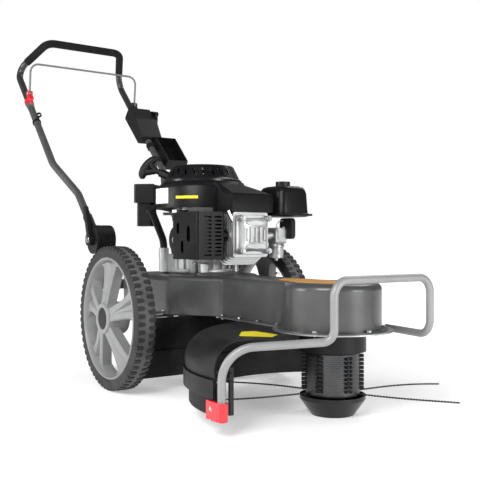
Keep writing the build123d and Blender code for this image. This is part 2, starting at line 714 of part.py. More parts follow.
# ---------------------------------------------------------------- cutting head
HOUSING_R = 30
HOUSING_Z = (160, 240)
HEAD_BEARING_R = 23.5
HEAD_BEARING_W = 14
HUB_SLEEVE_R = 16
NUT_Z = (7, 13.7)
PULLEY_Z = (250, 275)
PULLEY_LIP = 10
with BuildPart() as spindle_housing:
    low, high = HOUSING_Z
    with BuildSketch(Plane.XY.offset(low)):
        with Locations(HEAD):
            Circle(HOUSING_R)
    extrude(amount=high - low)
    with BuildSketch(Plane.XY.offset(DECK_Z - PLATE_T)):
        with Locations(HEAD):
            Circle(GUARD_R)
    extrude(amount=-7)
    with BuildSketch(Plane.XY.offset(DRUM_TOP + 2)):
        with Locations(HEAD):
            Circle(GUARD_R)
            Circle(GUARD_R - SKIN, mode=Mode.SUBTRACT)
    extrude(amount=DECK_Z - PLATE_T - DRUM_TOP - 2)
    for start, depth, radius in (
        (low, high - low, SPINDLE_R + 5), (low, HEAD_BEARING_W, HEAD_BEARING_R + SEAT),
        (high, -HEAD_BEARING_W, HEAD_BEARING_R + SEAT),
    ):
        with BuildSketch(Plane.XY.offset(start)):
            with Locations(HEAD):
                Circle(radius)
        extrude(amount=depth, mode=Mode.SUBTRACT)
    with Locations(*[(x, y, DECK_Z - PLATE_T) for x, y in HOUSING_BOLTS]):
        Cylinder(FLANGE_BOLT_R + SEAT, 20, mode=Mode.SUBTRACT)
save(spindle_housing, "spindle_housing")

with BuildPart() as spindle_bearings:
    for start, depth in ((low, HEAD_BEARING_W), (high, -HEAD_BEARING_W)):
        with BuildSketch(Plane.XY.offset(start)):
            with Locations(HEAD):
                Circle(HEAD_BEARING_R)
                Circle(SPINDLE_R + RUN, mode=Mode.SUBTRACT)
        extrude(amount=depth)
save(spindle_bearings, "spindle_bearings")

with BuildPart() as spindle_shaft:
    for start, end, radius in (
        (DRUM_Z, PULLEY_Z[1] + 10, SPINDLE_R), (NUT_Z[0], DRUM_Z, STUB_R), (NUT_Z[0], NUT_Z[1], 15),
    ):
        with BuildSketch(Plane.XY.offset(start)):
            with Locations(HEAD):
                Circle(radius)
        extrude(amount=end - start)
save(spindle_shaft, "spindle_shaft")

LINE_ANGLES = (-17, -61, 119, 163)
LUG_COLUMNS = 6
LUG_ROWS = 9
DRUM_WALL = 4
with BuildPart() as head_drum:
    with BuildSketch(Plane.XY.offset(DRUM_Z)):
        with Locations(HEAD):
            Circle(DRUM_R)
    extrude(amount=DRUM_TOP - DRUM_Z)
    with BuildSketch(Plane.XY.offset(DRUM_Z)):
        with Locations(HEAD):
            Circle(DRUM_R - DRUM_WALL)
            Circle(HUB_SLEEVE_R, mode=Mode.SUBTRACT)
    extrude(amount=DRUM_TOP - DRUM_Z - DRUM_WALL, mode=Mode.SUBTRACT)
    pitch = (DRUM_TOP - DRUM_Z - 16) / LUG_ROWS
    for row in range(LUG_ROWS):
        with BuildSketch(Plane.XY.offset(DRUM_Z + 12 + row * pitch)):
            with Locations(HEAD):
                with PolarLocations(DRUM_R + 3, LUG_COLUMNS):
                    Rectangle(14, 9)
        extrude(amount=pitch * 0.62)
    with BuildSketch(Plane.XY.offset(DRUM_Z)):
        with Locations(HEAD):
            Circle(SPINDLE_R + SEAT)
    extrude(amount=DRUM_TOP - DRUM_Z, mode=Mode.SUBTRACT)
    for angle in LINE_ANGLES:
        start = (*nose_polar(angle, DRUM_R - 12), LINE_Z)
        with BuildSketch(Plane(origin=start, z_dir=(cos(radians(angle)), sin(radians(angle)), 0))):
            Circle(LINE_R + SEAT)
        extrude(amount=24, mode=Mode.SUBTRACT)
save(head_drum, "head_drum")

with BuildPart() as trimmer_lines:
    for angle in LINE_ANGLES:
        start = (*nose_polar(angle, DRUM_R - 20), LINE_Z)
        with BuildSketch(Plane(origin=start, z_dir=(cos(radians(angle)), sin(radians(angle)), 0))):
            Circle(LINE_R)
        extrude(amount=LINE_REACH - DRUM_R + 20)
save(trimmer_lines, "trimmer_lines")

with BuildPart() as glide_cup:
    with BuildSketch(Plane(origin=(*HEAD, 0), x_dir=(1, 0, 0), z_dir=(0, -1, 0))):
        with BuildLine():
            Polyline(
                (STUB_R + RUN, NUT_Z[1] + GAP), (20, NUT_Z[1] + GAP), (20, 0), (52, 0), (CUP_R, CUP_H - 9),
                (CUP_R, CUP_H), (CUP_R - 4, CUP_H), (CUP_R - 4, CUP_H - 8), (50, 4), (24, 4), (24, 18),
                (HUB_SLEEVE_R, 18), (HUB_SLEEVE_R, DRUM_Z - GAP), (STUB_R + RUN, DRUM_Z - GAP), close=True,
            )
        make_face()
    revolve(axis=Axis((*HEAD, 0), (0, 0, 1)))
save(glide_cup, "glide_cup")

# ---------------------------------------------------------------- belt drive


def pulley(centre, groove, bore):
    """Half section of a belt pulley, revolved about its own axis."""
    bottom, top = PULLEY_Z
    with BuildPart() as wheel_part:
        with BuildSketch(Plane(origin=(*centre, 0), x_dir=(1, 0, 0), z_dir=(0, -1, 0))):
            with BuildLine():
                Polyline(
                    (bore, bottom), (groove + PULLEY_LIP, bottom), (groove + PULLEY_LIP, BELT_Z - BELT_W / 2 - 2),
                    (groove, BELT_Z - BELT_W / 2 - 1), (groove, BELT_Z + BELT_W / 2 + 1),
                    (groove + PULLEY_LIP, BELT_Z + BELT_W / 2 + 2), (groove + PULLEY_LIP, top), (bore, top), close=True,
                )
            make_face()
        revolve(axis=Axis((*centre, 0), (0, 0, 1)))
    return wheel_part.part


with BuildPart() as driven_pulley:
    add(pulley(HEAD, DRIVEN_R, SPINDLE_R + SEAT))
save(driven_pulley, "driven_pulley")

with BuildPart() as drive_pulley:
    add(pulley(CRANK, DRIVE_R, CRANK_R + SEAT))
save(drive_pulley, "drive_pulley")

SPAN = ENGINE_Y - NOSE_Y


def belt_outline(extra):
    """Plan of the taut belt loop round both pulleys, at this distance from their grooves."""
    head_r, crank_r = DRIVEN_R + extra, DRIVE_R + extra
    lean = (head_r - crank_r) / SPAN
    run = (1 - lean * lean) ** 0.5
    with BuildSketch() as loop:
        with Locations(HEAD):
            Circle(head_r)
        with Locations(CRANK):
            Circle(crank_r)
        with BuildLine():
            Polyline(
                (BODY_X - head_r * run, NOSE_Y + head_r * lean), (BODY_X - crank_r * run, ENGINE_Y + crank_r * lean),
                (BODY_X + crank_r * run, ENGINE_Y + crank_r * lean), (BODY_X + head_r * run, NOSE_Y + head_r * lean),
                close=True,
            )
        make_face()
    return loop.sketch


with BuildPart() as drive_belt:
    with BuildSketch(Plane.XY.offset(BELT_Z - BELT_W / 2)):
        add(belt_outline(GAP + BELT_T))
        add(belt_outline(GAP), mode=Mode.SUBTRACT)
    extrude(amount=BELT_W)
save(drive_belt, "drive_belt")

IDLER_R = 25
IDLER_Y = -60
IDLER_STUD_R = 5
ARM_T = 6
belt_side = DRIVEN_R - (DRIVEN_R - DRIVE_R) * (IDLER_Y - NOSE_Y) / SPAN + GAP + BELT_T
IDLER = (BODY_X - belt_side - IDLER_R - GAP, IDLER_Y)
ARM_Z = BELT_Z + BELT_W / 2 + 3
with BuildPart() as idler_pulley:
    with BuildSketch(Plane.XY.offset(BELT_Z - BELT_W / 2)):
        with Locations(IDLER):
            Circle(IDLER_R)
            Circle(IDLER_STUD_R + RUN, mode=Mode.SUBTRACT)
    extrude(amount=BELT_W)
save(idler_pulley, "idler_pulley")

with BuildPart() as idler_arm:
    reach = hypot(IDLER[0] - ARM_PIVOT[0], IDLER[1] - ARM_PIVOT[1])
    swing = degrees(atan2(IDLER[1] - ARM_PIVOT[1], IDLER[0] - ARM_PIVOT[0]))
    with BuildSketch(Plane.XY.offset(ARM_Z)):
        with Locations(Location((*ARM_PIVOT, 0), (0, 0, swing))):
            with Locations((reach / 2, 0)):
                SlotCenterToCenter(reach, 24)
        with Locations(ARM_PIVOT):
            Circle(ARM_STUD_R + RUN, mode=Mode.SUBTRACT)
    extrude(amount=ARM_T)
    for start, end, radius in (
        (ARM_Z, BELT_Z - BELT_W / 2 - GAP, IDLER_STUD_R),
        (BELT_Z - BELT_W / 2 - GAP, BELT_Z - BELT_W / 2 - GAP - 4, IDLER_STUD_R + 4),
    ):
        with BuildSketch(Plane.XY.offset(start)):
            with Locations(IDLER):
                Circle(radius)
        extrude(amount=end - start)
save(idler_arm, "idler_arm")

# ---------------------------------------------------------------- engine
FLYWHEEL_R = 95
FLYWHEEL_Z = (CASE_TOP + 3, CASE_TOP + 55)
SHROUD_TOP = SHROUD_Z + SHROUD_H
HEAD_END = COVER_Y + COVER_T
BARREL_HALF = 45
FILLER_BASE = (-53, 100)
FILLER_TOP = (-110, 70, 505)
FILLER_R = 11
BOSS_TOP = 393
INTAKE_Y = -140
INTAKE_Z = 430
PORT_R = 14
EXHAUST_R = 12
with BuildPart() as engine_block:
    with BuildSketch(Plane.XY.offset(ENGINE_Z)):
        with Locations(CRANK):
            Circle(SUMP_R)
    extrude(amount=SUMP_H)
    with BuildSketch(Plane.XY.offset(ENGINE_Z)):
        with Locations(CRANK):
            Circle(LUG_REACH - 3)
    extrude(amount=9)
    with BuildSketch(Plane.XY.offset(ENGINE_Z)):
        with Locations(*ENGINE_BOLTS):
            Circle(LUG_R)
    extrude(amount=LUG_H)
    with BuildSketch(Plane.XY.offset(ENGINE_Z + SUMP_H)):
        with Locations(CRANK):
            Circle(SUMP_R - 4)
    extrude(amount=CASE_TOP - ENGINE_Z - SUMP_H)
    with BuildSketch(Plane.XY.offset(ENGINE_Z)):
        with Locations(FILLER_BASE):
            Circle(FILLER_R + 4)
    extrude(amount=BOSS_TOP - ENGINE_Z)
    boss_reach = hypot(FILLER_BASE[0] - BODY_X, FILLER_BASE[1] - ENGINE_Y)
    boss_turn = degrees(atan2(FILLER_BASE[1] - ENGINE_Y, FILLER_BASE[0] - BODY_X))
    with BuildSketch(Plane.XY.offset(ENGINE_Z)):
        with Locations(Location((*CRANK, 0), (0, 0, boss_turn))):
            with Locations((boss_reach / 2 + 20, 0)):
                Rectangle(boss_reach - 40, 20)
    extrude(amount=SUMP_H)
    with BuildSketch(Plane(origin=(CYL_X, HEAD_END + 72, CYL_Z), x_dir=(1, 0, 0), z_dir=(0, 1, 0))):
        RectangleRounded(2 * BARREL_HALF, 2 * BARREL_HALF, 10)
    extrude(amount=ENGINE_Y - HEAD_END - 72 - CRANK_R - 20)
    with BuildSketch(Plane.XY.offset(CASE_TOP - 9)):
        for angle in (40, 115, 205):
            with Locations(Location((*CRANK, 0), (0, 0, angle))):
                with Locations((SHROUD_R / 2, 0)):
                    Rectangle(SHROUD_R - 2 * SKIN - 2 * GAP, 16)
    extrude(amount=9)
    with BuildSketch(Plane.XY.offset(ENGINE_Z - 1)):
        with Locations(CRANK):
            Circle(CRANK_R + RUN)
    extrude(amount=CASE_TOP - ENGINE_Z + 2, mode=Mode.SUBTRACT)
    with Locations(*[(x, y, ENGINE_Z) for x, y in ENGINE_BOLTS]):
        Cylinder(FLANGE_BOLT_R + SEAT, 3 * LUG_H, mode=Mode.SUBTRACT)
    with Locations((*FILLER_BASE, BOSS_TOP)):
        Cylinder(FILLER_R + SEAT, 28, mode=Mode.SUBTRACT)
save(engine_block, "engine_block")

FIN_T = 3
FIN_PITCH = 8
FINS = 8
HEAD_CORE = 40
with BuildPart() as cylinder_head:
    face = Plane(origin=(CYL_X, HEAD_END + SEAT, CYL_Z), x_dir=(-1, 0, 0), z_dir=(0, 1, 0))
    with BuildSketch(face):
        RectangleRounded(2 * HEAD_CORE, 2 * HEAD_CORE, 8)
    extrude(amount=72 - 2 * SEAT)
    for fin in range(FINS):
        with BuildSketch(face.offset(3 + fin * FIN_PITCH)):
            RectangleRounded(120, 2 * (SHROUD_Z - GAP - CYL_Z), 8)
        extrude(amount=FIN_T)
    with BuildSketch(side_plane(CYL_X, INTAKE_Y, INTAKE_Z)):
        Circle(PORT_R + 4)
    extrude(amount=64, both=True)
save(cylinder_head, "cylinder_head")

with BuildPart() as valve_cover:
    with BuildSketch(Plane(origin=(CYL_X, COVER_Y, CYL_Z), x_dir=(-1, 0, 0), z_dir=(0, 1, 0))):
        RectangleRounded(110, 112, 16)
        with Locations(*[(CYL_X - x, z - CYL_Z) for x, z in COVER_BOLTS]):
            Circle(FLANGE_BOLT_R + SEAT, mode=Mode.SUBTRACT)
    extrude(amount=COVER_T)
save(valve_cover, "valve_cover")

GUARD_X = (-90, 0)
GUARD_Y = (-165, -20)
GUARD_BOTTOM = 362
GUARD_TOP = SHROUD_Z - GAP
GUARD_T = 1.5
GUARD_SIZE = (GUARD_X[1] - GUARD_X[0], GUARD_Y[1] - GUARD_Y[0])
GUARD_MIDDLE = (sum(GUARD_X) / 2, sum(GUARD_Y) / 2)
MUFFLER_INSET = 10
with BuildPart() as muffler:
    for start, end, inset, radius, mode in (
        (GUARD_BOTTOM, GUARD_TOP, 0, 8, Mode.ADD),
        (GUARD_BOTTOM, GUARD_TOP - GUARD_T, GUARD_T, 6.5, Mode.SUBTRACT),
        (GUARD_BOTTOM + 14, GUARD_TOP - 14, MUFFLER_INSET, 18, Mode.ADD),
    ):
        with BuildSketch(Plane.XY.offset(start)):
            with Locations(GUARD_MIDDLE):
                RectangleRounded(GUARD_SIZE[0] - 2 * inset, GUARD_SIZE[1] - 2 * inset, radius)
        extrude(amount=end - start, mode=mode)
    with BuildSketch(Plane.XY.offset(GUARD_TOP - 20)):
        with Locations((GUARD_MIDDLE[0], -120), (GUARD_MIDDLE[0], -60)):
            Circle(7)
    extrude(amount=19)
    with BuildSketch(side_plane(GUARD_X[1] - 20, INTAKE_Y, INTAKE_Z)):
        Circle(EXHAUST_R)
    extrude(amount=CYL_X - 64 - SEAT - GUARD_X[1] + 20)
    with BuildSketch(Plane.XY.offset(GUARD_BOTTOM + 16)):
        with Locations(GUARD_MIDDLE):
            RectangleRounded(GUARD_SIZE[0] - 2 * MUFFLER_INSET - 4, GUARD_SIZE[1] - 2 * MUFFLER_INSET - 4, 16)
    extrude(amount=GUARD_TOP - GUARD_BOTTOM - 32, mode=Mode.SUBTRACT)
    with BuildSketch(side_plane(GUARD_X[1] - 24, INTAKE_Y, INTAKE_Z)):
        Circle(EXHAUST_R - 2)
    extrude(amount=60, mode=Mode.SUBTRACT)
    with BuildSketch(Plane(origin=(-40, GUARD_Y[0] - 2, 428), x_dir=(1, 0, 0), z_dir=(0, 1, 0))):
        with GridLocations(33, 10.6, 2, 11):
            SlotOverall(25, 5)
    extrude(amount=6, mode=Mode.SUBTRACT)
    with BuildSketch(side_plane(GUARD_X[0] - 2, -95, 430)):
        for across, up, tall, wide in ((-20, 4, 44, 18), (40, 20, 32, 14), (15, -33, 36, 14)):
            with Locations((across, up)):
                SlotOverall(tall, wide, rotation=90)
    extrude(amount=6, mode=Mode.SUBTRACT)
save(muffler, "muffler")


TANK_X = (176, 288)
TANK_Y = (-190, -60)
TANK_Z = (486, 578)
CAP_R = 15


def shroud_outline(grow=0.0):
    """Plan of the blower housing: round over the flywheel, with a tongue over the cylinder."""
    with BuildSketch() as plan:
        with Locations(CRANK):
            Circle(SHROUD_R)
        with Locations((CYL_X, (HEAD_END + ENGINE_Y) / 2)):
            Rectangle(128, ENGINE_Y - HEAD_END)
        with Locations((TANK_X[0] - 40, -110)):
            Rectangle(80 - 2 * SEAT, 90)
        fillet(plan.vertices(), radius=6)
        if grow:
            offset(amount=grow)
    return plan.sketch


SHROUD_EDGE_R = 10
with BuildPart() as shroud_hollow:
    with BuildSketch(Plane.XY.offset(SHROUD_Z)):
        add(shroud_outline(-SKIN))
    extrude(amount=SHROUD_H - SKIN)
    fillet(shroud_hollow.faces().sort_by(Axis.Z)[-1].edges(), radius=SHROUD_EDGE_R - SKIN)

with BuildPart() as blower_shroud:
    with BuildSketch(Plane.XY.offset(SHROUD_Z)):
        add(shroud_outline())
    extrude(amount=SHROUD_H)
    fillet(blower_shroud.faces().sort_by(Axis.Z)[-1].edges(), radius=SHROUD_EDGE_R)
    add(shroud_hollow.part, mode=Mode.SUBTRACT)
    with BuildSketch(Plane.XY.offset(SHROUD_TOP - 20)):
        with Locations(CRANK):
            Circle(FLYWHEEL_R + 3)
    extrude(amount=40, mode=Mode.SUBTRACT)
save(blower_shroud, "blower_shroud")

PULL = Vector(-0.765, 0.51, 0.39).normalized()
GRIP = Vector(-84, 150, 642)
RECOIL_SLOTS = 24
with BuildPart() as recoil_cover:
    with BuildSketch(Plane(origin=(*CRANK, 0), x_dir=(1, 0, 0), z_dir=(0, -1, 0))):
        top = SHROUD_TOP + RECOIL_H
        with BuildLine():
            Polyline(
                (0, top), (RECOIL_TOP_R, top), (RECOIL_R - 8, SHROUD_TOP + 12), (RECOIL_R, SHROUD_TOP + 6),
                (RECOIL_R, SHROUD_TOP), (RECOIL_R - 12, SHROUD_TOP), (RECOIL_TOP_R - 4, top - SKIN),
                (0, top - SKIN), close=True,
            )
        make_face()
    revolve(axis=Axis((*CRANK, 0), (0, 0, 1)))
    for index in range(RECOIL_SLOTS):
        angle = 360 * index / RECOIL_SLOTS
        out = Vector(cos(radians(angle)), sin(radians(angle)), 0)
        centre = Vector(*CRANK, SHROUD_TOP + 29) + out * (RECOIL_TOP_R - 14)
        with BuildSketch(Plane(origin=centre, x_dir=(-out.Y, out.X, 0.45), z_dir=out)):
            SlotOverall(24, 6, rotation=90)
        if abs((angle - 145 + 180) % 360 - 180) > 18:
            extrude(amount=40, mode=Mode.SUBTRACT)
    with BuildSketch(Plane(origin=GRIP - PULL * 76, z_dir=PULL)):
        Circle(13)
    extrude(amount=34)
save(recoil_cover, "recoil_cover")

with BuildPart() as starter_grip:
    with BuildSketch(Plane(origin=GRIP - PULL * (42 - GAP), z_dir=PULL)):
        Circle(9)
    extrude(amount=42)
    with BuildSketch(Plane(origin=GRIP, x_dir=PULL.cross(Vector(0, 0, 1)).cross(PULL), z_dir=PULL)):
        SlotOverall(80, 20)
    extrude(amount=8, both=True)
save(starter_grip, "starter_grip")

with BuildPart() as crankshaft:
    for start, end, radius in (
        (PULLEY_Z[0] - 5, FLYWHEEL_Z[1] + 40, CRANK_R), (FLYWHEEL_Z[0], FLYWHEEL_Z[1], FLYWHEEL_R),
        (FLYWHEEL_Z[1], FLYWHEEL_Z[1] + 25, 35),
    ):
        with BuildSketch(Plane.XY.offset(start)):
            with Locations(CRANK):
                Circle(radius)
        extrude(amount=end - start)
    with BuildSketch(Plane.XY.offset(FLYWHEEL_Z[0] + 10)):
        with Locations(CRANK):
            Circle(FLYWHEEL_R - 10)
            Circle(38, mode=Mode.SUBTRACT)
    extrude(amount=FLYWHEEL_Z[1] - FLYWHEEL_Z[0], mode=Mode.SUBTRACT)
save(crankshaft, "crankshaft")

with BuildPart() as fuel_tank:
    with BuildSketch(Plane.XY.offset(TANK_Z[0])):
        with Locations((sum(TANK_X) / 2, sum(TANK_Y) / 2)):
            RectangleRounded(TANK_X[1] - TANK_X[0], TANK_Y[1] - TANK_Y[0], 22)
    extrude(amount=TANK_Z[1] - TANK_Z[0])
    fillet(fuel_tank.faces().sort_by(Axis.Z)[-1].edges(), radius=10)
    fillet(fuel_tank.faces().sort_by(Axis.Z)[0].edges(), radius=10)
save(fuel_tank, "fuel_tank")

FUEL_CAP = (sum(TANK_X) / 2, sum(TANK_Y) / 2)
with BuildPart() as fuel_cap:
    with BuildSketch(Plane.XY.offset(TANK_Z[1] + GAP)):
        with Locations(FUEL_CAP):
            Circle(21)
    extrude(amount=14)
save(fuel_cap, "fuel_cap")

CARB_X = (CYL_X + 64 + SEAT, 215)
with BuildPart() as carburettor:
    with BuildSketch(side_plane(CARB_X[0], INTAKE_Y, INTAKE_Z)):
        Circle(PORT_R)
    extrude(amount=30)
    with BuildSketch(side_plane(CARB_X[0] + 28, INTAKE_Y, INTAKE_Z)):
        RectangleRounded(50, 46, 8)
    extrude(amount=CARB_X[1] - CARB_X[0] - 28)
    with BuildSketch(Plane.XY.offset(INTAKE_Z - 66)):
        with Locations(((CARB_X[0] + 28 + CARB_X[1]) / 2, INTAKE_Y)):
            Circle(21)
    extrude(amount=46)
save(carburettor, "carburettor")

with BuildPart() as air_filter_box:
    with BuildSketch(side_plane(CARB_X[1] + SEAT, INTAKE_Y - 20, TANK_Z[0] - 35)):
        RectangleRounded(60, 62, 12)
    extrude(amount=WHEEL_X - TYRE_W / 2 - 3 - CARB_X[1] - SEAT)
save(air_filter_box, "air_filter_box")

COVER_TURN = 137
with BuildPart() as rear_cover:
    for start, end, near, far, width in (
        (SHROUD_Z + 36, SHROUD_TOP - 2, 120, 210, 78), (SHROUD_Z - 36, SHROUD_Z + 36, 152, 204, 52),
    ):
        with BuildSketch(Plane.XY.offset(start)):
            with Locations(Location((*CRANK, 0), (0, 0, COVER_TURN))):
                with Locations(((near + far) / 2, 0)):
                    RectangleRounded(far - near, width, 10)
            with Locations(CRANK):
                Circle(SHROUD_R + SEAT, mode=Mode.SUBTRACT)
        extrude(amount=end - start)
save(rear_cover, "rear_cover")

with BuildPart() as oil_filler:
    foot, knee = Vector(*FILLER_BASE, BOSS_TOP - 13), Vector(*FILLER_BASE, BOSS_TOP + 20)
    mouth = Vector(*FILLER_TOP)
    with BuildLine() as path:
        FilletPolyline(foot, knee, mouth, radius=60)
    with BuildSketch(Plane(origin=foot, z_dir=(0, 0, 1))):
        Circle(FILLER_R)
        Circle(FILLER_R - 2, mode=Mode.SUBTRACT)
    sweep(path=path.line)
save(oil_filler, "oil_filler")

with BuildPart() as dipstick:
    lean = (mouth - knee).normalized()
    with BuildSketch(Plane(origin=mouth + lean * GAP, z_dir=lean)):
        Circle(CAP_R)
    extrude(amount=10)
    with BuildSketch(Plane(origin=mouth + lean * GAP, z_dir=lean)):
        Circle(FILLER_R - 2 - GAP)
    extrude(amount=-16)
    with BuildSketch(Plane(origin=mouth, z_dir=lean)):
        Circle(2)
    extrude(amount=-64)
save(dipstick, "dipstick")

# ---------------------------------------------------------------- controls on the handle
BOX_X = (181, 272)
BOX_S = (560, BAIL_S - FORK_S - 1)
DIAL_S = 690
DIAL_N = 12
DIAL_R = 38
DIAL_STUD_R = 6
with BuildPart() as control_box:
    with BuildSketch(handle_plane(BOX_X[0])):
        with BuildLine():
            Polyline(
                (BOX_S[0], -16), (BOX_S[1], -20), (BOX_S[1], 38), (DIAL_S - 40, 45), (BOX_S[0], 22), close=True,
            )
        make_face()
    extrude(amount=BOX_X[1] - BOX_X[0])
    fillet(control_box.edges().filter_by(Axis.X), radius=8)
    for start, radius in ((BOX_S[0] - 1, TUBE_R + SEAT), (FERRULE_S - 13, TUBE_R + 2 + SEAT)):
        with BuildSketch(tube_plane(UPPER_X, start)):
            Circle(radius)
        extrude(amount=BOX_S[1] - start + 1, mode=Mode.SUBTRACT)
    with BuildSketch(handle_plane(BOX_X[1] + 1, DIAL_S, DIAL_N)):
        Circle(DIAL_STUD_R + RUN)
    extrude(amount=-20, mode=Mode.SUBTRACT)
save(control_box, "control_box")

with BuildPart() as control_dial:
    with BuildSketch(handle_plane(BOX_X[1] + GAP, DIAL_S, DIAL_N)):
        Circle(DIAL_R)
        with Locations((-10, DIAL_R)):
            RectangleRounded(18, 22, 6)
    extrude(amount=13)
    with BuildSketch(handle_plane(BOX_X[1] + GAP, DIAL_S, DIAL_N)):
        Circle(DIAL_STUD_R)
    extrude(amount=-16)
save(control_dial, "control_dial")

CADDY_X = (238, 325)
CADDY_S = (405, BOX_S[0] - 4)
CADDY_N = (-18, 33)
with BuildPart() as storage_caddy:
    length, wide = CADDY_S[1] - CADDY_S[0], CADDY_X[1] - CADDY_X[0]
    with BuildSketch(handle_plane(CADDY_X[0])):
        with Locations(((CADDY_S[0] + CADDY_S[1]) / 2, sum(CADDY_N) / 2)):
            RectangleRounded(length, CADDY_N[1] - CADDY_N[0], 8)
    extrude(amount=wide)
    with BuildSketch(handle_plane(CADDY_X[0] + 3)):
        with Locations(((CADDY_S[0] + CADDY_S[1]) / 2, sum(CADDY_N) / 2 + 10)):
            Rectangle(length - 8, CADDY_N[1] - CADDY_N[0] + 14)
    extrude(amount=wide - 6, mode=Mode.SUBTRACT)
    for start in (CADDY_S[0] + 20, CADDY_S[1] - 40):
        with BuildSketch(tube_plane(UPPER_X, start)):
            Circle(TUBE_R + 4)
            with Locations(((UPPER_X - CADDY_X[0]) / 2 - 1, -6)):
                Rectangle(CADDY_X[0] - UPPER_X, 12)
            Circle(TUBE_R + SEAT, mode=Mode.SUBTRACT)
        extrude(amount=20)
save(storage_caddy, "storage_caddy")

GUIDE_S = 625
with BuildPart() as rope_guide:
    with BuildSketch(tube_plane(-UPPER_X, GUIDE_S - 8)):
        Circle(TUBE_R + 3)
        with Locations((0, TUBE_R + 8)):
            Rectangle(6, 16)
        with Locations((0, TUBE_R + 22)):
            Circle(9)
            Circle(6, mode=Mode.SUBTRACT)
        Circle(TUBE_R + SEAT, mode=Mode.SUBTRACT)
    extrude(amount=8)
save(rope_guide, "rope_guide")
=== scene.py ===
# %% [markdown]
# # A walk-behind brush mower
#
# The engineering model already holds every tube, casting and cover at its real size.
# Here it gets what the eye looks for: tread, moulded ribs, cast metal, paint and rubber.

# %% Load the frame
import math

import bmesh
import bpy
from mathutils import Matrix, Vector


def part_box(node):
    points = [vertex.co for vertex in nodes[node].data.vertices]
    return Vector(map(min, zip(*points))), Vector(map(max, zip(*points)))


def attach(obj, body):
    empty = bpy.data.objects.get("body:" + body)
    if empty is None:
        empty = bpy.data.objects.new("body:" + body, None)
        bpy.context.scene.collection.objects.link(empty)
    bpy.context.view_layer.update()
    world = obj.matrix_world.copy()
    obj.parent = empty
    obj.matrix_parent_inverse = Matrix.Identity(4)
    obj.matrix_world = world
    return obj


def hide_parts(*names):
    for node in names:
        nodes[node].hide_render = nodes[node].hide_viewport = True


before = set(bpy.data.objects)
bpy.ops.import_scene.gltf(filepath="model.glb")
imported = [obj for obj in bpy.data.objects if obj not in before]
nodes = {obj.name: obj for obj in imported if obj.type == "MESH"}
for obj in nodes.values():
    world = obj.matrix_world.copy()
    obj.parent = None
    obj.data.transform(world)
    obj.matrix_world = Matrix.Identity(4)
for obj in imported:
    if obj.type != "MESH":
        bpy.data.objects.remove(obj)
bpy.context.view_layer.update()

# %% [markdown]
# ## The camera
#
# A long lens held low, level with the engine, looking along the machine from its right front.
# One could aim it with a constraint, but plain numbers are easier to repeat.

# %% Camera
CAMERA_AT = Vector((-1.1149, -1.9075, 0.4121))
CAMERA_TURN = 33.76
LENS, SENSOR, RISE = 55.46, 36, 0.0035
lens = bpy.data.cameras.new("camera")
lens.lens, lens.sensor_width, lens.shift_y = LENS, SENSOR, RISE
camera = bpy.data.objects.new("camera", lens)
camera.location = CAMERA_AT
camera.rotation_euler = (math.radians(90), 0, -math.radians(CAMERA_TURN))
bpy.context.scene.collection.objects.link(camera)
bpy.context.scene.camera = camera
print("camera at", tuple(round(v, 3) for v in CAMERA_AT), "lens", LENS)

# %% [markdown]
# ## Studio light
#
# Black plastic shows its shape only through what it mirrors, so the lamps are broad squares:
# a key from above, one from behind on the same side, a low fill and a weak one over the far side.
# The room itself glows evenly. It looks pure white to the camera and lights the machine softly.


# %% Four soft lamps
def lamp(name, place, aim, size, power):
    """A square soft light at a place, turned towards a point."""
    data = bpy.data.lights.new(name, "AREA")
    data.size, data.energy = size, power
    obj = bpy.data.objects.new(name, data)
    obj.location = place
    obj.rotation_euler = (Vector(aim) - Vector(place)).to_track_quat("-Z", "Y").to_euler()
    bpy.context.scene.collection.objects.link(obj)


lamp("key_lamp", (-2.4, -1.7, 2.2), (0, 0, 0.35), 1.5, 90)
lamp("side_lamp", (-2.6, 0.9, 1.1), (0, 0, 0.4), 1.0, 34)
lamp("fill_lamp", (0.9, -3.2, 0.8), (0, -0.2, 0.35), 1.0, 40)
lamp("rim_lamp", (2.2, 0.4, 2.8), (0, 0, 0.5), 1.2, 30)

# %% A white room that lights softly
world = bpy.data.worlds.new("pale_room")
world.use_nodes = True
room = world.node_tree
glow = room.nodes["Background"]
glow.inputs["Color"].default_value = (1, 1, 1, 1)
ROOM_LIGHT, ROOM_SEEN = 0.2, 1.0
seen = room.nodes.new("ShaderNodeLightPath")
level = room.nodes.new("ShaderNodeMapRange")
level.inputs["To Min"].default_value = ROOM_LIGHT
level.inputs["To Max"].default_value = ROOM_SEEN
room.links.new(seen.outputs["Is Camera Ray"], level.inputs["Value"])
room.links.new(level.outputs["Result"], glow.inputs["Strength"])
bpy.context.scene.world = world
bpy.context.scene.view_settings.view_transform = "Standard"

# %% [markdown]
# ## Surface effects shared by every finish
#
# Real surfaces are never one flat colour. One node group lays slow mottling, fine grain, faint
# scuffs and low dust over a base colour, and every paint, plastic and casting uses it with its own
# values. Separate node trees would drift apart, so the few helpers below build one shared group.


# %% A shader group
def shader_group(name, inputs, outputs):
    """A shader node group with named sockets; returns it with its input and output nodes."""
    tree = bpy.data.node_groups.new(name, "ShaderNodeTree")
    for label, kind, value in inputs:
        socket = tree.interface.new_socket(label, in_out="INPUT", socket_type="NodeSocket" + kind)
        socket.default_value = value
    for label, kind in outputs:
        tree.interface.new_socket(label, in_out="OUTPUT", socket_type="NodeSocket" + kind)
    return tree, tree.nodes.new("NodeGroupInput"), tree.nodes.new("NodeGroupOutput")


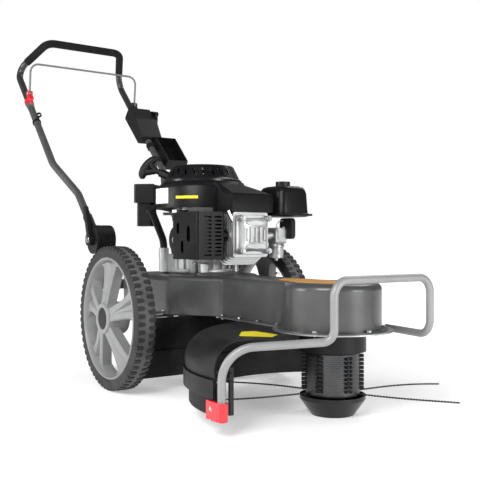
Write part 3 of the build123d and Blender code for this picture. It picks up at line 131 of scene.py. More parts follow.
# %% Noise and ranges
def noise(tree, where, size, detail, stretch=None):
    """Noise whose blotches are about size metres wide, optionally stretched along an axis."""
    node = tree.nodes.new("ShaderNodeTexNoise")
    node.inputs["Scale"].default_value = 1 / size
    node.inputs["Detail"].default_value = detail
    if stretch:
        mapping = tree.nodes.new("ShaderNodeMapping")
        mapping.inputs["Scale"].default_value = stretch
        tree.links.new(where, mapping.inputs["Vector"])
        where = mapping.outputs["Vector"]
    tree.links.new(where, node.inputs["Vector"])
    return node.outputs["Fac"]


def spread(tree, value, low, high, out_low, out_high):
    """Map a value from one range to another, clamped."""
    node = tree.nodes.new("ShaderNodeMapRange")
    for label, number in zip(("From Min", "From Max", "To Min", "To Max"), (low, high, out_low, out_high)):
        if isinstance(number, (int, float)):
            node.inputs[label].default_value = number
        else:
            tree.links.new(number, node.inputs[label])
    tree.links.new(value, node.inputs["Value"])
    return node.outputs["Result"]


# %% Mixing colours and numbers
def blend_colour(tree, mode, amount, one, other):
    """Mix two colours; amount is a number or a socket."""
    node = tree.nodes.new("ShaderNodeMix")
    node.data_type, node.blend_type = "RGBA", mode
    for socket, value in ((node.inputs[0], amount), (node.inputs[6], one), (node.inputs[7], other)):
        if isinstance(value, (int, float, tuple)):
            socket.default_value = value
        else:
            tree.links.new(value, socket)
    return node.outputs[2]


def arithmetic(tree, operation, one, other):
    """One Math node; each side is a number or a socket."""
    node = tree.nodes.new("ShaderNodeMath")
    node.operation = operation
    for socket, value in zip(node.inputs, (one, other)):
        if isinstance(value, (int, float)):
            socket.default_value = value
        else:
            tree.links.new(value, socket)
    return node.outputs[0]


# %% The worn surface group
SCUFF_GREY, DUST_BROWN, DUST_TOP = (0.45, 0.45, 0.44, 1), (0.36, 0.33, 0.29, 1), 0.35
worn, worn_in, worn_out = shader_group(
    "worn_surface",
    [("Colour", "Color", (0.1, 0.1, 0.1, 1)), ("Mottle", "Float", 0.15), ("Roughness", "Float", 0.5),
     ("Uneven", "Float", 0.1), ("Grain Size", "Float", 0.002), ("Scuffs", "Float", 0.1),
     ("Dust", "Float", 0.1)],
    [("Colour", "Color"), ("Roughness", "Float"), ("Height", "Float")],
)
place = worn.nodes.new("ShaderNodeTexCoord").outputs["Object"]
cloud = noise(worn, place, 0.06, 3)
grain_noise = worn.nodes.new("ShaderNodeTexNoise")
grain_noise.inputs["Detail"].default_value = 2
worn.links.new(place, grain_noise.inputs["Vector"])
worn.links.new(arithmetic(worn, "DIVIDE", 1.0, worn_in.outputs["Grain Size"]), grain_noise.inputs["Scale"])
scratch = spread(worn, noise(worn, place, 0.012, 4, (1, 0.25, 6)), 0.62, 0.74, 0, 1)
lighter = spread(worn, cloud, 0.3, 0.7, arithmetic(worn, "SUBTRACT", 1, worn_in.outputs["Mottle"]),
                 arithmetic(worn, "ADD", 1, worn_in.outputs["Mottle"]))
tint = worn.nodes.new("ShaderNodeVectorMath")
tint.operation = "SCALE"
worn.links.new(worn_in.outputs["Colour"], tint.inputs[0])
worn.links.new(lighter, tint.inputs["Scale"])
scuffed = blend_colour(worn, "MIX", arithmetic(worn, "MULTIPLY", scratch, worn_in.outputs["Scuffs"]),
                       tint.outputs[0], SCUFF_GREY)
height = worn.nodes.new("ShaderNodeSeparateXYZ")
worn.links.new(place, height.inputs[0])
low_dust = arithmetic(worn, "MULTIPLY", spread(worn, height.outputs["Z"], 0.0, DUST_TOP, 1, 0),
                      spread(worn, cloud, 0.4, 0.75, 0, 1))
worn.links.new(blend_colour(worn, "MIX", arithmetic(worn, "MULTIPLY", low_dust, worn_in.outputs["Dust"]),
                            scuffed, DUST_BROWN), worn_out.inputs["Colour"])
worn.links.new(arithmetic(worn, "ADD", worn_in.outputs["Roughness"],
                          arithmetic(worn, "MULTIPLY", arithmetic(worn, "SUBTRACT", cloud, 0.5),
                                     worn_in.outputs["Uneven"])), worn_out.inputs["Roughness"])
worn.links.new(grain_noise.outputs["Fac"], worn_out.inputs["Height"])
print("worn surface nodes", len(worn.nodes))

# %% [markdown]
# ## Finishes
#
# Each material places the shared group, sets its own numbers and keeps its own shader.
# Grain size is in metres: fine on moulded plastic, coarser on sand-cast metal. Metal could be one
# material with a mask, but a maker buys paint, steel and alloy apart, and so does this list.


# %% A finish
def finish(name, colour, roughness, metallic=0.0, mottle=0.12, uneven=0.12, grain=0.0012,
           bump=0.1, depth=0.0004, scuffs=0.04, dust=0.1, coat=0.0, specular=0.5):
    """One material on the worn surface group; colour is linear."""
    material = bpy.data.materials.new(name)
    material.use_nodes = True
    tree = material.node_tree
    shader = tree.nodes["Principled BSDF"]
    effect = tree.nodes.new("ShaderNodeGroup")
    effect.node_tree = worn
    values = {"Colour": (*colour, 1), "Mottle": mottle, "Roughness": roughness, "Uneven": uneven,
              "Grain Size": grain, "Scuffs": scuffs, "Dust": dust}
    for label, value in values.items():
        effect.inputs[label].default_value = value
    relief = tree.nodes.new("ShaderNodeBump")
    relief.inputs["Strength"].default_value = bump
    relief.inputs["Distance"].default_value = depth
    tree.links.new(effect.outputs["Height"], relief.inputs["Height"])
    tree.links.new(effect.outputs["Colour"], shader.inputs["Base Color"])
    tree.links.new(effect.outputs["Roughness"], shader.inputs["Roughness"])
    tree.links.new(relief.outputs["Normal"], shader.inputs["Normal"])
    shader.inputs["Metallic"].default_value = metallic
    shader.inputs["Coat Weight"].default_value = coat
    shader.inputs["Specular IOR Level"].default_value = specular
    return material


# %% Paint, foam and rubber
deck_paint = finish("deck_paint", (0.070, 0.071, 0.073), 0.36, 0.3, mottle=0.1, grain=0.0016,
                    bump=0.2, coat=0.15)
tube_paint = finish("tube_paint", (0.060, 0.061, 0.063), 0.5, 0.1, bump=0.12, specular=0.3)
loop_gloss = finish("loop_gloss", (0.03, 0.03, 0.032), 0.28, 0.2, uneven=0.05, bump=0.03,
                    coat=0.3, specular=0.35)
foam = finish("foam_black", (0.008, 0.008, 0.009), 0.9, mottle=0.3, grain=0.001, bump=0.8,
              depth=0.0008, scuffs=0, specular=0.2)
tyre_ground = finish("tyre_ground", (0.085, 0.084, 0.083), 0.8, mottle=0.25, grain=0.002,
                     bump=0.3, dust=0.14)
tyre_rubber = finish("tyre_rubber", (0.016, 0.016, 0.017), 0.7, mottle=0.25, grain=0.0015,
                     bump=0.25, dust=0.08)
flap_rubber = finish("flap_rubber", (0.007, 0.007, 0.008), 0.6, mottle=0.2, bump=0.2, dust=0.06,
                     specular=0.25)
print("paint and rubber:", deck_paint.name, tube_paint.name, loop_gloss.name, foam.name)

# %% Moulded plastic
rim_plastic = finish("rim_plastic", (0.235, 0.237, 0.24), 0.42, mottle=0.05, grain=0.001,
                     bump=0.12, dust=0.06)
black_plastic = finish("black_plastic", (0.006, 0.006, 0.007), 0.46, mottle=0.2, grain=0.0009,
                       bump=0.25, dust=0.04, specular=0.25)
gloss_plastic = finish("gloss_plastic", (0.004, 0.004, 0.005), 0.26, mottle=0.15, uneven=0.08, grain=0.0012,
                       bump=0.05, scuffs=0.02, dust=0.03, specular=0.35)
satin_plastic = finish("satin_plastic", (0.004, 0.004, 0.005), 0.36, mottle=0.2, uneven=0.1, grain=0.0008,
                       bump=0.12, scuffs=0.02, dust=0.03, specular=0.22)
red_plastic = finish("red_plastic", (0.75, 0.010, 0.022), 0.3, mottle=0.06, bump=0.06, coat=0.3,
                     dust=0.04)
line_nylon = finish("line_nylon", (0.010, 0.010, 0.011), 0.35, mottle=0.1, bump=0.1)
print("plastics:", rim_plastic.name, black_plastic.name, gloss_plastic.name, satin_plastic.name)

# %% Metal and painted metal
panel_paint = finish("panel_paint", (0.007, 0.007, 0.008), 0.38, bump=0.12, specular=0.4)
bumper_paint = finish("bumper_paint", (0.27, 0.272, 0.275), 0.4, 0.15, mottle=0.05, bump=0.08)
cast_alloy = finish("cast_alloy", (0.46, 0.465, 0.47), 0.42, 0.8, mottle=0.18, uneven=0.3, grain=0.0016,
                    bump=0.5, depth=0.0005)
bright_steel = finish("bright_steel", (0.66, 0.67, 0.68), 0.24, 1.0, mottle=0.08, uneven=0.2, bump=0.05)
wire_steel = finish("wire_steel", (0.16, 0.16, 0.165), 0.5, 0.2, mottle=0.08, uneven=0.1,
                    bump=0.03, specular=0.3)
plate_steel = finish("plate_steel", (0.42, 0.43, 0.44), 0.34, 0.9, mottle=0.12, uneven=0.25, bump=0.08)
guard_paint = finish("guard_paint", (0.004, 0.004, 0.005), 0.34, mottle=0.2, bump=0.1, dust=0.03,
                     specular=0.22)
gunmetal = finish("gunmetal", (0.075, 0.077, 0.08), 0.3, 0.85, mottle=0.15, uneven=0.2, grain=0.001, bump=0.1)
print("metals:", cast_alloy.name, bright_steel.name, plate_steel.name, gunmetal.name)

# %% Films and the floor
yellow_film = finish("yellow_film", (0.88, 0.70, 0.0), 0.4, mottle=0.03, bump=0.02, dust=0.02)
orange_film = finish("orange_film", (0.72, 0.33, 0.04), 0.35, mottle=0.18, bump=0.02, dust=0.02)
white_film = finish("white_film", (0.8, 0.8, 0.79), 0.45, mottle=0.03, bump=0.02, dust=0.02)
floor_white = finish("floor_white", (0.92, 0.92, 0.92), 0.6, mottle=0.01, bump=0, scuffs=0, dust=0)
FADE_FROM, FADE_TO, FLOOR_GLOW = 0.7, 2.4, 0.34
floor_tree = floor_white.node_tree
floor_shader = floor_tree.nodes["Principled BSDF"]
spot_at = floor_tree.nodes.new("ShaderNodeTexCoord")
length = floor_tree.nodes.new("ShaderNodeVectorMath")
length.operation = "LENGTH"
floor_tree.links.new(spot_at.outputs["Object"], length.inputs[0])
# Painted light: the floor's glow rises from FLOOR_GLOW near the machine to full strength far off, standing in
# for lamp light on the far floor.
painted_floor_glow = spread(floor_tree, length.outputs["Value"], FADE_FROM, FADE_TO, FLOOR_GLOW, 1.0)
floor_tree.links.new(painted_floor_glow, floor_shader.inputs["Emission Color"])
floor_shader.inputs["Emission Strength"].default_value = 1.0
print("floor glows fully past", FADE_TO, "m")

# %% [markdown]
# ## Finishes on the engineering nodes
#
# Every node gets a finish, even one that a detailed piece hides later, so none is ever bare.

# %% Put a finish on every engineering node
COATS = {
    deck_paint: ("deck", "cross_beam", "axle_brackets"),
    tube_paint: ("lower_tubes",),
    loop_gloss: ("upper_loop",),
    foam: ("foam_grip",),
    tyre_rubber: ("right_tyre", "left_tyre"),
    flap_rubber: ("rubber_flaps", "drive_belt"),
    rim_plastic: ("right_rim", "left_rim"),
    black_plastic: ("debris_shield", "handle_brackets", "pivot_sockets", "left_bail_fork", "control_box",
                    "storage_caddy", "oil_filler", "dipstick", "air_filter_box", "rope_guide",
                    "right_clamp_lever", "left_clamp_lever", "starter_grip", "spindle_housing"),
    gloss_plastic: ("blower_shroud", "recoil_cover", "fuel_tank", "fuel_cap", "control_dial", "glide_cup",
                    "rear_cover"),
    panel_paint: ("rear_panel",),
    bumper_paint: ("bumper",),
    red_plastic: ("bumper_sleeve", "right_bail_fork"),
    cast_alloy: ("engine_block", "cylinder_head", "valve_cover", "carburettor"),
    bright_steel: ("axle", "chassis_bolts", "ferrules", "bail_pins", "pivot_bolts", "spindle_bearings",
                   "spindle_shaft", "right_hub_fittings", "left_hub_fittings", "crankshaft", "drive_pulley",
                   "driven_pulley", "idler_arm", "idler_pulley"),
    wire_steel: ("bail",),
    plate_steel: ("base_plate",),
    guard_paint: ("muffler",),
    gunmetal: ("head_drum",),
    line_nylon: ("trimmer_lines",),
}
for material, names in COATS.items():
    for name in names:
        nodes[name].data.materials.clear()
        nodes[name].data.materials.append(material)
print("coated", sum(len(names) for names in COATS.values()), "of", len(nodes), "nodes")

# %% [markdown]
# ## Mesh helpers
#
# Most moulded parts are either turned about an axis, lofted through rings, or swept along a path.
# Each has a small helper that works on one open mesh, and the last helpers close that mesh, give
# it soft edges and seat it on its body. Primitives and booleans would leave untidier faces.


# %% Loft through rings, turn about an axis
def bridge(bm, rings, caps=True):
    """Skin a list of point rings; each ring is a closed loop."""
    loops = [[bm.verts.new(point) for point in ring] for ring in rings]
    count = len(loops[0])
    pairs = list(zip(loops, loops[1:])) + ([(loops[-1], loops[0])] if not caps else [])
    for one, other in pairs:
        for i in range(count):
            j = (i + 1) % count
            bm.faces.new((one[i], one[j], other[j], other[i]))
    if caps:
        bm.faces.new(reversed(loops[0]))
        bm.faces.new(loops[-1])


def turned(bm, profile, axis_at, axis="X", steps=96):
    """Revolve a closed profile of (radius, along) points about an axis through a point."""
    rings = []
    for i in range(steps):
        c, s = math.cos(2 * math.pi * i / steps), math.sin(2 * math.pi * i / steps)
        ring = []
        for radius, along in profile:
            point = (along, radius * c, radius * s) if axis == "X" else (radius * c, radius * s, along)
            ring.append(Vector(point) + Vector(axis_at))
        rings.append(ring)
    bridge(bm, rings, caps=False)


# %% Sweep along points, raise an outline
def swept(bm, points, radii, sides=12):
    """Loft a round section along points; radii is one number or one for each point."""
    points = [Vector(p) for p in points]
    radii = [radii] * len(points) if isinstance(radii, (int, float)) else radii
    rings, side = [], None
    for i, point in enumerate(points):
        along = (points[min(i + 1, len(points) - 1)] - points[max(i - 1, 0)]).normalized()
        start = side if side else (Vector((0, 0, 1)) if abs(along.z) < 0.9 else Vector((1, 0, 0)))
        side = (start - along * start.dot(along)).normalized()
        up = along.cross(side)
        rings.append([
            point + side * radii[i] * math.cos(2 * math.pi * k / sides)
            + up * radii[i] * math.sin(2 * math.pi * k / sides) for k in range(sides)
        ])
    bridge(bm, rings)


def slab(bm, outline, thickness, matrix):
    """Extrude a flat outline of (x, y) points upwards and put it in place."""
    low = [matrix @ Vector((x, y, 0)) for x, y in outline]
    high = [matrix @ Vector((x, y, thickness)) for x, y in outline]
    bridge(bm, [low, high])


# %% A rounded outline and a seat for it
def rounded(width, height, radius, steps=5):
    """Outline of a rounded rectangle about the origin."""
    points = []
    for cx, cy, start in ((1, 1, 0), (-1, 1, 90), (-1, -1, 180), (1, -1, 270)):
        for k in range(steps + 1):
            a = math.radians(start + 90 * k / steps)
            points.append((cx * (width / 2 - radius) + radius * math.cos(a),
                           cy * (height / 2 - radius) + radius * math.sin(a)))
    return points


def seat(origin, z_axis, x_hint=(1, 0, 0)):
    """Matrix at an origin whose z axis points along a direction."""
    z = Vector(z_axis).normalized()
    x = (Vector(x_hint) - z * Vector(x_hint).dot(z)).normalized()
    y = z.cross(x)
    rows = [(x[i], y[i], z[i], origin[i]) for i in range(3)]
    return Matrix((*rows, (0, 0, 0, 1)))


# %% Close a piece and seat it on its body
def finished(name, bm, material, body, bevel=0.0, angle=32, replaced=()):
    """Close a mesh into a named piece on a body, with soft edges."""
    bmesh.ops.remove_doubles(bm, verts=bm.verts, dist=1e-6)
    bmesh.ops.recalc_face_normals(bm, faces=bm.faces)
    mesh = bpy.data.meshes.new(name)
    bm.to_mesh(mesh)
    bm.free()
    return settled(name, mesh, material, body, bevel, angle, replaced)


def settled(name, mesh, material, body, bevel=0.0, angle=32, replaced=()):
    """Make an object of a mesh, with its material, bevel, body and the node it stands for."""
    obj = bpy.data.objects.new(name, mesh)
    bpy.context.scene.collection.objects.link(obj)
    mesh.materials.clear()
    mesh.materials.append(material)
    for face in mesh.polygons:
        face.use_smooth = True
    mesh.set_sharp_from_angle(angle=math.radians(angle))
    if bevel:
        soft = obj.modifiers.new("soft_edges", "BEVEL")
        soft.width, soft.segments, soft.limit_method = bevel, 2, "ANGLE"
        soft.angle_limit = math.radians(angle)
        soft.harden_normals = True
    if body:
        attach(obj, body)
    if replaced:
        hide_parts(*replaced)
    return obj


# %% Soften an engineering node
def softened(node, body, material, bevel, angle=30):
    """A welded copy of a node with rounded edges, which stands for it."""
    bm = bmesh.new()
    bm.from_mesh(nodes[node].data)
    bmesh.ops.remove_doubles(bm, verts=bm.verts, dist=2e-6)
    bmesh.ops.dissolve_limit(bm, angle_limit=math.radians(1), verts=bm.verts, edges=bm.edges)
    mesh = bpy.data.meshes.new(node + "_soft")
    bm.to_mesh(mesh)
    bm.free()
    return settled(node + "_soft", mesh, material, body, bevel, angle, (node,))


# %% [markdown]
# ## Repeats with Geometry Nodes
#
# Tread lugs, cap ribs, starter slats, sump posts and drum hooks all repeat round an axis. Copies
# placed by hand would be long and hard to change. One tree places any small part round a circle
# or an arc, turned to face outwards, and another places it along a row.


# %% Helpers for geometry trees
def geometry_tree(name, inputs):
    """A geometry node tree with named inputs; returns it with its input and output nodes."""
    tree = bpy.data.node_groups.new(name, "GeometryNodeTree")
    for label, kind, value in inputs:
        socket = tree.interface.new_socket(label, in_out="INPUT", socket_type="NodeSocket" + kind)
        if value is not None:
            socket.default_value = value
    tree.interface.new_socket("Mesh", in_out="OUTPUT", socket_type="NodeSocketGeometry")
    return tree, tree.nodes.new("NodeGroupInput"), tree.nodes.new("NodeGroupOutput")


def end_tree(tree, geometry, given, out):
    """Realize the instances, set the material and leave the tree."""
    solid = tree.nodes.new("GeometryNodeRealizeInstances")
    paint = tree.nodes.new("GeometryNodeSetMaterial")
    tree.links.new(geometry, solid.inputs[0])
    tree.links.new(solid.outputs[0], paint.inputs["Geometry"])
    tree.links.new(given.outputs["Material"], paint.inputs["Material"])
    tree.links.new(paint.outputs["Geometry"], out.inputs[0])


# %% The ring tree
ring_tree, given, out = geometry_tree("ring_of_parts", [
    ("Count", "Int", 12), ("Radius", "Float", 0.1), ("Start", "Float", 0.0), ("Sweep", "Float", 6.2),
    ("Part", "Object", None), ("Material", "Material", None)])
arc = ring_tree.nodes.new("GeometryNodeCurveArc")
part = ring_tree.nodes.new("GeometryNodeObjectInfo")
scatter = ring_tree.nodes.new("GeometryNodeInstanceOnPoints")
spot = ring_tree.nodes.new("GeometryNodeInputPosition")
split = ring_tree.nodes.new("ShaderNodeSeparateXYZ")
turn = ring_tree.nodes.new("ShaderNodeMath")
turn.operation = "ARCTAN2"
euler = ring_tree.nodes.new("ShaderNodeCombineXYZ")
for one, other in (
    (given.outputs["Count"], arc.inputs["Resolution"]), (given.outputs["Radius"], arc.inputs["Radius"]),
    (given.outputs["Start"], arc.inputs["Start Angle"]), (given.outputs["Sweep"], arc.inputs["Sweep Angle"]),
    (given.outputs["Part"], part.inputs["Object"]), (arc.outputs["Curve"], scatter.inputs["Points"]),
    (part.outputs["Geometry"], scatter.inputs["Instance"]), (spot.outputs[0], split.inputs[0]),
    (split.outputs["Y"], turn.inputs[0]), (split.outputs["X"], turn.inputs[1]),
    (turn.outputs[0], euler.inputs["Z"]), (euler.outputs[0], scatter.inputs["Rotation"]),
):
    ring_tree.links.new(one, other)
end_tree(ring_tree, scatter.outputs[0], given, out)
print("ring tree nodes", len(ring_tree.nodes))

# %% The row tree
row_tree, given, out = geometry_tree("rows_of_parts", [
    ("Count", "Int", 5), ("Step", "Vector", (0.01, 0, 0)), ("Part", "Object", None),
    ("Material", "Material", None)])
line = row_tree.nodes.new("GeometryNodeMeshLine")
part = row_tree.nodes.new("GeometryNodeObjectInfo")
scatter = row_tree.nodes.new("GeometryNodeInstanceOnPoints")
for one, other in (
    (given.outputs["Count"], line.inputs["Count"]), (given.outputs["Step"], line.inputs["Offset"]),
    (given.outputs["Part"], part.inputs["Object"]), (line.outputs["Mesh"], scatter.inputs["Points"]),
    (part.outputs["Geometry"], scatter.inputs["Instance"]),
):
    row_tree.links.new(one, other)
end_tree(row_tree, scatter.outputs[0], given, out)
print("row tree nodes", len(row_tree.nodes))


# %% Run a tree
def small_part(bm):
    """The object that a tree copies; it goes once the tree has run."""
    bmesh.ops.remove_doubles(bm, verts=bm.verts, dist=1e-6)
    bmesh.ops.recalc_face_normals(bm, faces=bm.faces)
    mesh = bpy.data.meshes.new("small_part")
    bm.to_mesh(mesh)
    bm.free()
    return bpy.data.objects.new("small_part", mesh)


def grown(tree, values, matrix=None):
    """Run a tree once and return its plain mesh, moved into place; the small part goes."""
    host = bpy.data.objects.new("host", bpy.data.meshes.new("host"))
    bpy.context.scene.collection.objects.link(host)
    modifier = host.modifiers.new("grow", "NODES")
    modifier.node_group = tree
    for socket in tree.interface.items_tree:
        if socket.item_type == "SOCKET" and socket.in_out == "INPUT":
            modifier[socket.identifier] = values[socket.name]
    bpy.context.scene.collection.objects.link(values["Part"])
    solid = host.evaluated_get(bpy.context.evaluated_depsgraph_get())
    mesh = bpy.data.meshes.new_from_object(solid)
    bpy.data.objects.remove(host)
    bpy.data.objects.remove(values["Part"])
    if matrix:
        mesh.transform(matrix)
    return mesh


# %% A finished ring of parts
def ring_of(name, bm, count, radius, material, body, matrix, start=0.0, end=None, replaced=()):
    """A small part repeated round a circle, or along an arc between two angles in degrees."""
    sweep = math.radians(end - start) if end is not None else 2 * math.pi * (count - 1) / count
    values = {"Count": count, "Radius": radius, "Start": math.radians(start), "Sweep": sweep,
              "Part": small_part(bm), "Material": material}
    return settled(name, grown(ring_tree, values, matrix), material, body, replaced=replaced)


# %% [markdown]
# ## Wheels
#
# Each wheel is a moulded grey rim with five deep dished spokes and a black tyre.
# The tyre carries two staggered rows of tongue-shaped lugs, sixty to a row, on a paler ground.

# %% Sizes of a wheel
WHEEL_X, WHEEL_R, BEAD_R = 0.258, 0.200, 0.168
LUGS, SPOKES, ROUND = 60, 5, 120
ABOUT_X = Matrix(((0, 0, 1, 0), (1, 0, 0, 0), (0, 1, 0, 0), (0, 0, 0, 1)))
SIDES = ((-1, "right"), (1, "left"))
print("wheels at x", [side * WHEEL_X for side, _ in SIDES], "radius", WHEEL_R)


# %% Carcass and sidewalls
def tyre(side, name):
    """The tyre's pale ground, turned about the axle, and its two black cheeks."""
    hub, body = (side * WHEEL_X, 0, WHEEL_R), name + "_wheel"
    bm = bmesh.new()
    section = [(BEAD_R, -0.0238), (0.176, -0.0250), (0.188, -0.0249), (0.1945, -0.0235), (0.1966, -0.0195),
               (0.1970, 0.0), (0.1966, 0.0195), (0.1945, 0.0235), (0.188, 0.0249), (0.176, 0.0250),
               (BEAD_R, 0.0238), (BEAD_R, 0.0)]
    turned(bm, section, hub, "X", ROUND)
    finished(name + "_carcass", bm, tyre_ground, body, replaced=(name + "_tyre",))
    bm = bmesh.new()
    ring = [(0.1695, 0.0237), (0.1712, 0.0250), (0.1900, 0.0252), (0.1955, 0.0238), (0.1900, 0.0234)]
    for cheek in (-1, 1):
        turned(bm, [(r, cheek * x) for r, x in ring], hub, "X", ROUND)
    finished(name + "_sidewalls", bm, tyre_rubber, body)


# %% One tread lug
def lug(row):
    """A tongue over half the tread, with a tab that wraps onto the cheek; row is its side."""
    bm = bmesh.new()
    tongue = [(-0.0005, -0.0064), (0.0140, -0.0056)] + [
        (0.0140 + 0.0056 * math.cos(math.radians(a)), 0.0056 * math.sin(math.radians(a)))
        for a in (-60, -25, 0, 25, 60)] + [(0.0140, 0.0056), (-0.0005, 0.0064)]
    low = [Vector((-0.0060, y, row * (0.0246 - x))) for x, y in tongue]
    high = [Vector((-0.0012 if x < 0.002 else -0.0002, y * 0.88, row * (0.0242 - x * 0.97)))
            for x, y in tongue]
    bridge(bm, [low, high])
    tab = [(-0.0130, 0.0246), (-0.0115, 0.0256), (-0.0035, 0.0252), (-0.0008, 0.0240), (-0.0060, 0.0230)]
    bridge(bm, [[Vector((x, y, row * z)) for x, z in tab] for y in (-0.0061, 0.0061)])
    return bm


# %% Both tyres
for side, name in SIDES:
    tyre(side, name)
    for row, phase in ((-1, 0.0), (1, math.pi / LUGS)):
        at = Matrix.Translation((side * WHEEL_X, 0, WHEEL_R)) @ ABOUT_X @ Matrix.Rotation(phase, 4, "Z")
        edge = "inner" if row == -side else "outer"
        ring_of(f"{name}_lugs_{edge}", lug(row), LUGS, WHEEL_R, tyre_rubber, name + "_wheel", at)
print("tread lugs on each tyre", 2 * LUGS)

# %% [markdown]
# The rim is one moulding: a barrel that carries the tyre, a deep boss and five spokes that widen
# and dish towards the barrel, each with a V groove. A loft through eight sections gives a spoke.


# %% Barrel and boss
def barrel_and_boss(bm, side, hub):
    """The rim's two turned parts."""
    barrel = [(0.1680, -0.0250), (0.1680, 0.0248), (0.1672, 0.0262), (0.1640, 0.0262), (0.1622, 0.0240),
              (0.1600, 0.0170), (0.1560, 0.0060), (0.1545, -0.0040), (0.1560, -0.0160), (0.1630, -0.0255)]
    turned(bm, [(r, side * x) for r, x in barrel], hub, "X", ROUND)
    boss = [(0.0300, 0.0395), (0.0320, 0.0408), (0.0400, 0.0405), (0.0430, 0.0370), (0.0460, 0.0200),
            (0.0450, -0.0200), (0.0420, -0.0250), (0.0120, -0.0250), (0.0120, 0.0250), (0.0290, 0.0255)]
    turned(bm, [(r, side * x) for r, x in boss], hub, "X", 72)


# %% One spoke
BARREL_IN = 0.1605
STATIONS = [(0.036, 0.0200, 0.0365), (0.050, 0.0200, 0.0335), (0.075, 0.0225, 0.0285),
            (0.100, 0.0265, 0.0240), (0.125, 0.0320, 0.0200), (0.142, 0.0400, 0.0175),
            (0.152, 0.0500, 0.0160), (0.1595, 0.0660, 0.0150)]


def spoke(bm, side, hub, aim):
    """A spoke at an angle, through stations of (reach, half width, height of its face)."""
    out, across = Vector((0, math.cos(aim), math.sin(aim))), Vector((0, -math.sin(aim), math.cos(aim)))
    rings = []
    for reach, half, top in STATIONS:
        groove = max(0.0008, 0.017 * (reach - 0.055) / 0.100)
        dip = max(0.0004, min(0.010, 0.16 * (reach - 0.055)))
        section = [(-half, top - 0.030), (-half, top - 0.003), (-half + 0.003, top),
                   (-groove - 0.001, top), (-groove * 0.55, top - dip), (groove * 0.55, top - dip),
                   (groove + 0.001, top), (half - 0.003, top), (half, top - 0.003),
                   (half, top - 0.030), (0, top - 0.024)]
        bow = BARREL_IN * (1 - math.cos(half / BARREL_IN)) if reach > 0.15 else 0
        rings.append([hub + out * (reach - bow * abs(a) / half) + across * a + Vector((side * x, 0, 0))
                      for a, x in section])
    bridge(bm, rings)


# %% Both rims and hub caps
CAP = [(0.0005, 0.0385), (0.0180, 0.0385), (0.0270, 0.0378), (0.0292, 0.0350), (0.0296, 0.0250),
       (0.0005, 0.0250)]
INNER = [(0.0081, -0.0250), (0.0175, -0.0250), (0.0175, -0.0262), (0.0081, -0.0262)]
for side, name in SIDES:
    hub, body = Vector((side * WHEEL_X, 0, WHEEL_R)), name + "_wheel"
    bm = bmesh.new()
    barrel_and_boss(bm, side, hub)
    for k in range(SPOKES):
        spoke(bm, side, hub, math.radians(90 + k * 360 / SPOKES))
    finished(name + "_spoked_rim", bm, rim_plastic, body, angle=28, replaced=(name + "_rim",))
    bm = bmesh.new()
    for profile in (CAP, INNER):
        turned(bm, [(r, side * x) for r, x in profile], hub, "X", 48)
    finished(name + "_hub_cap", bm, black_plastic, body, replaced=(name + "_hub_fittings",))
print("spokes on each rim", SPOKES)

# %% [markdown]
# ## Engine covers
#
# The blower housing is a thin moulded shell. Its top falls away towards the cylinder, so a plain
# extrusion looks wrong. A ray from the crank centre finds the outline at each angle, and the rings
# between wall, shoulder and fan opening follow their own heights.

# %% The outline of the blower housing
CRANK = Vector((0.058, 0.055, 0))
FAN_R, FAN_OPENING, CLOSE = 0.150, 0.098, 1e-6
TONGUES = ((-0.038, 0.090, -0.227, 0.0), (0.038, 0.1178, -0.210, -0.120))


def shroud_reach(angle):
    """Distance from the crank to the housing's outline at an angle in radians."""
    c, s = math.cos(angle), math.sin(angle)
    best = FAN_R
    for low_x, high_x, low_y, high_y in TONGUES:
        walls = [v / d for v, d in ((low_x, c), (high_x, c), (low_y, s), (high_y, s))
                 if abs(d) > CLOSE and v / d > 0]
        for wall in walls:
            x, y = wall * c, wall * s
            if low_x - CLOSE <= x <= high_x + CLOSE and low_y - CLOSE <= y <= high_y + CLOSE:
                best = max(best, wall)
    return best


def shroud_point(angle, inset, z):
    """Point on the outline, moved in by an inset, at a height."""
    reach = shroud_reach(angle) - inset
    return CRANK + Vector((reach * math.cos(angle), reach * math.sin(angle), z))


# %% Heights round the housing
EDGE_TOP, EDGE_FALL, HEM, HEM_RISE, HOUSING_TOP = 0.578, 0.026, 0.4962, 0.016, 0.5919


def edge_height(angle):
    """The wall's top: lower over the cylinder than round the fan."""
    front = max(0.0, min(1.0, (shroud_reach(angle) - FAN_R) / 0.040))
    return EDGE_TOP - EDGE_FALL * front


def hem_height(angle):
    """The wall's lower edge, which rises on the exhaust side."""
    turn = (math.degrees(angle) + 360) % 360
    rise = max(0.0, min(1.0, (250 - turn) / 30)) if turn > 120 else max(0.0, min(1.0, (turn - 60) / 60))
    return HEM + HEM_RISE * rise


# %% Angles of the outline
corners = [math.atan2(y, x) for x, y in (
    (-0.038, -0.227), (0.090, -0.227), (0.090, -0.210), (0.1178, -0.210), (0.1178, -0.120), (-0.038, -0.145))]
angles = sorted([2 * math.pi * k / 160 - math.pi for k in range(160)] + corners
                + [a + d for a in corners for d in (-0.012, 0.012)])
print("outline points", len(angles))


def fan_ring(radius, z):
    """A circle about the crank with a point for every angle of the outline."""
    return [CRANK + Vector((radius * math.cos(a), radius * math.sin(a), z)) for a in angles]


# %% The blower housing shell
bm = bmesh.new()
bridge(bm, [
    [shroud_point(a, 0, hem_height(a)) for a in angles],
    [shroud_point(a, 0, edge_height(a) - 0.008) for a in angles],
    [shroud_point(a, 0.0025, edge_height(a) - 0.002) for a in angles],
    [shroud_point(a, 0.0080, edge_height(a)) for a in angles],
    fan_ring(0.130, 0.5850),
    fan_ring(0.126, HOUSING_TOP),
    fan_ring(FAN_OPENING, HOUSING_TOP),
    fan_ring(FAN_OPENING, 0.5820),
    [shroud_point(a, 0.012, edge_height(a) - 0.008) for a in angles],
    [shroud_point(a, 0.0025, hem_height(a)) for a in angles],
], caps=False)
finished("blower_housing", bm, satin_plastic, "chassis", angle=35, replaced=("blower_shroud",))
print("housing from", HEM, "to", HOUSING_TOP, "m")

